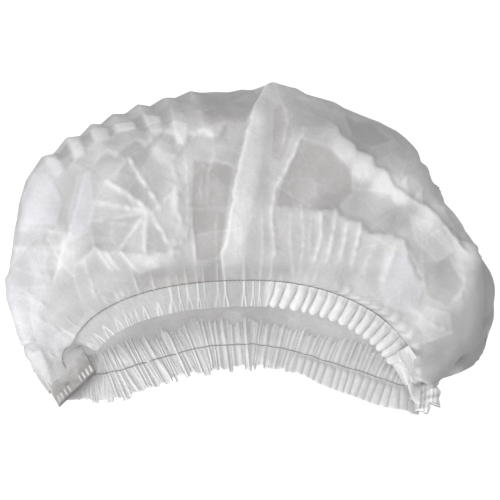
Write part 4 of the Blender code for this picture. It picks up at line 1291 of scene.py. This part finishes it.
# %% Elastic threads
def tube(path, radius, sides=8):
    """A closed tube: circles square to the path, which are joined to a point at each end."""
    along = np.gradient(path, axis=0)
    along /= np.linalg.norm(along, axis=1, keepdims=True)
    flat = np.cross(along, [0.0, 0.0, 1.0])
    flat /= np.linalg.norm(flat, axis=1, keepdims=True)
    third = np.cross(flat, along)
    turn = np.linspace(0, 2 * math.pi, sides + 1)
    size = np.full(len(path), radius)
    size[[0, -1]] = radius * 0.02
    ring = np.cos(turn)[None, :, None] * flat[:, None] + np.sin(turn)[None, :, None] * third[:, None]
    return path[:, None] + ring * size[:, None, None]


def make_thread(which, radius=0.00024, count=420):
    """The elastic lies along the pinched line, on the side that the viewer sees. Near the right tab
    the front one dives under the folded hem."""
    shares = np.linspace(0.004, 0.996, count)
    line, free, outward, _ = rim(which, shares)
    if which == "front":
        lift = 0.0004 - 0.0018 * smooth((shares - 0.90) / 0.03)
    else:
        lift = -0.0019 + 0.0003 * wander(shares * BACK_GATHERS, 3.0, 81)
    path = line + outward * np.broadcast_to(lift, shares.shape)[:, None] + free * 0.0001
    points = tube(path, radius)
    faces = grid_faces(points.shape[1], points.shape[0])
    lengths = np.concatenate([[0], np.cumsum(np.linalg.norm(np.diff(path, axis=0), axis=1))])
    round_it = np.linspace(0, 0.002, points.shape[1])
    uv = np.stack(np.broadcast_arrays(lengths[:, None], round_it[None, :]), axis=-1)
    piece = cloth_piece(which + "_elastic_thread", points, faces, THREAD, uv)
    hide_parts(which + "_elastic")
    return piece, lengths[-1]


threads = {which: make_thread(which) for which in ("front", "back")}
print("elastics", {which: round(1000 * made[1]) for which, made in threads.items()}, "mm along the rims")

# %% [markdown]
# ## The tabs
# At each end all the pleats are stacked and welded. The weld leaves short teeth beside the cut edge.


# %% Tabs
def slab(top, bottom):
    """Two grids of the same size, joined round their edges into one closed skin."""
    rows, columns = top.shape[:2]
    points = np.concatenate([top.reshape(-1, 3), bottom.reshape(-1, 3)])
    count = rows * columns
    upper, under = grid_faces(columns, rows), grid_faces(columns, rows, count)[:, ::-1]
    index = np.arange(count).reshape(rows, columns)
    loop = np.concatenate([index[0, :-1], index[:-1, -1], index[-1, :0:-1], index[:0:-1, 0]])
    after = np.roll(loop, -1)
    wall = np.stack([loop, loop + count, after + count, after], axis=1)
    return points, np.concatenate([upper, under, wall])


# Where the right tab's torn end stands: places across it, and how far out the cloth reaches, in mm.
TORN_END = (
    (-10, 7.0), (-6.8, 9.9), (-4.5, 8.4), (-1, 11.2), (3, 10.0), (7.9, 11.4), (8.5, 5.4),
    (11, 6.0), (15, 4.6))
TOOTH_PITCH, TEETH_START, TEETH_END = 0.0029, 0.0066, 0.0110
TEETH_GROUPS = ((-0.0142, -0.003), (0.0035, 0.0138))
WELD_THICKNESS = 0.0012


def make_tab(side, across=110, deep=40):
    """A tab: a flat stack with weld teeth near its cut end. The right one is shorter, torn and paler."""
    root, heading, width = tab_frame(side)
    crown_side = HEM_REACH * TABS[side]["crown_side"]
    top = tab_heights(side)[1]
    x = np.linspace(-crown_side, HEM_REACH, across)[None, :]
    d = np.linspace(-0.006, TAB_LENGTH, deep)[:, None]
    teeth = smooth(2.0 * lobes(x / TOOTH_PITCH, 1.0) - 0.9) * smooth((d - TEETH_START) / 0.0008)
    teeth = teeth * smooth((TEETH_END - d) / 0.0006)
    groups = sum(smooth((x - first) / 0.001) * smooth((last - x) / 0.001) for first, last in TEETH_GROUPS)
    flat_d = d
    if side == "left":
        teeth = teeth * groups * (0.6 + 0.4 * np.sin(x * 2100))
        fall = smooth((d + 0.006) / 0.014)
        soft = wander(np.stack(np.broadcast_arrays(x, 0.7 * d, 0 * x), axis=-1), 0.0060, 93, 3)
        layers = 0.50 - 0.30 * fall + 0.05 * np.sin(x * 350 + 1) + 0.05 * soft + 0.70 * teeth
        # A painted shadow line: the tone falls to dark in the last few tenths of a millimetre at the cut end.
        layers = layers * (1 - 0.85 * smooth((d - 0.0113) / 0.0003))
        rise = top + 0.0001 + 0.0003 * teeth - 0.0015 * (d / TAB_LENGTH) ** 2 + 0 * x
    else:
        flat_d = d * np.interp(x * 1000, *zip(*TORN_END)) * MM / TAB_LENGTH
        seams = folds(flat_d / 0.0023 + 0.25, 0.7)
        wrinkle = wander(np.stack(np.broadcast_arrays(x, flat_d, 0 * x), axis=-1), 0.006, 91, 3)
        # The tone rises with the seams' and wrinkles' height: painted light on their crests and painted shade
        # in their valleys.
        layers = 0.70 + 0.32 * seams + 0.16 * wrinkle
        rise = top - 0.0012 + 0.0006 * seams + 0.0007 * wrinkle - 0.0016 * (flat_d / TAB_LENGTH) ** 2
    border = smooth(np.minimum(x + crown_side, HEM_REACH - x) / 0.0008) * smooth((TAB_LENGTH - d) / 0.0008)
    spots = root + width * x[..., None] - heading * (flat_d + 0.0002)[..., None] + SHIFT
    above, below = spots.copy(), spots.copy()
    above[..., 2] = rise - 0.0005 * (1 - border)
    below[..., 2] = above[..., 2] - WELD_THICKNESS
    points, faces = slab(above, below)
    layers = np.concatenate([np.broadcast_to(layers, above.shape[:2]).ravel(), np.full(rise.size, 0.3)])
    piece = cloth_piece(side + "_tab_weld", points, faces, WELD, None, layers)
    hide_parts(side + "_tab")
    return piece


tabs = {side: make_tab(side) for side in TABS}
print("tabs", sorted(tabs))
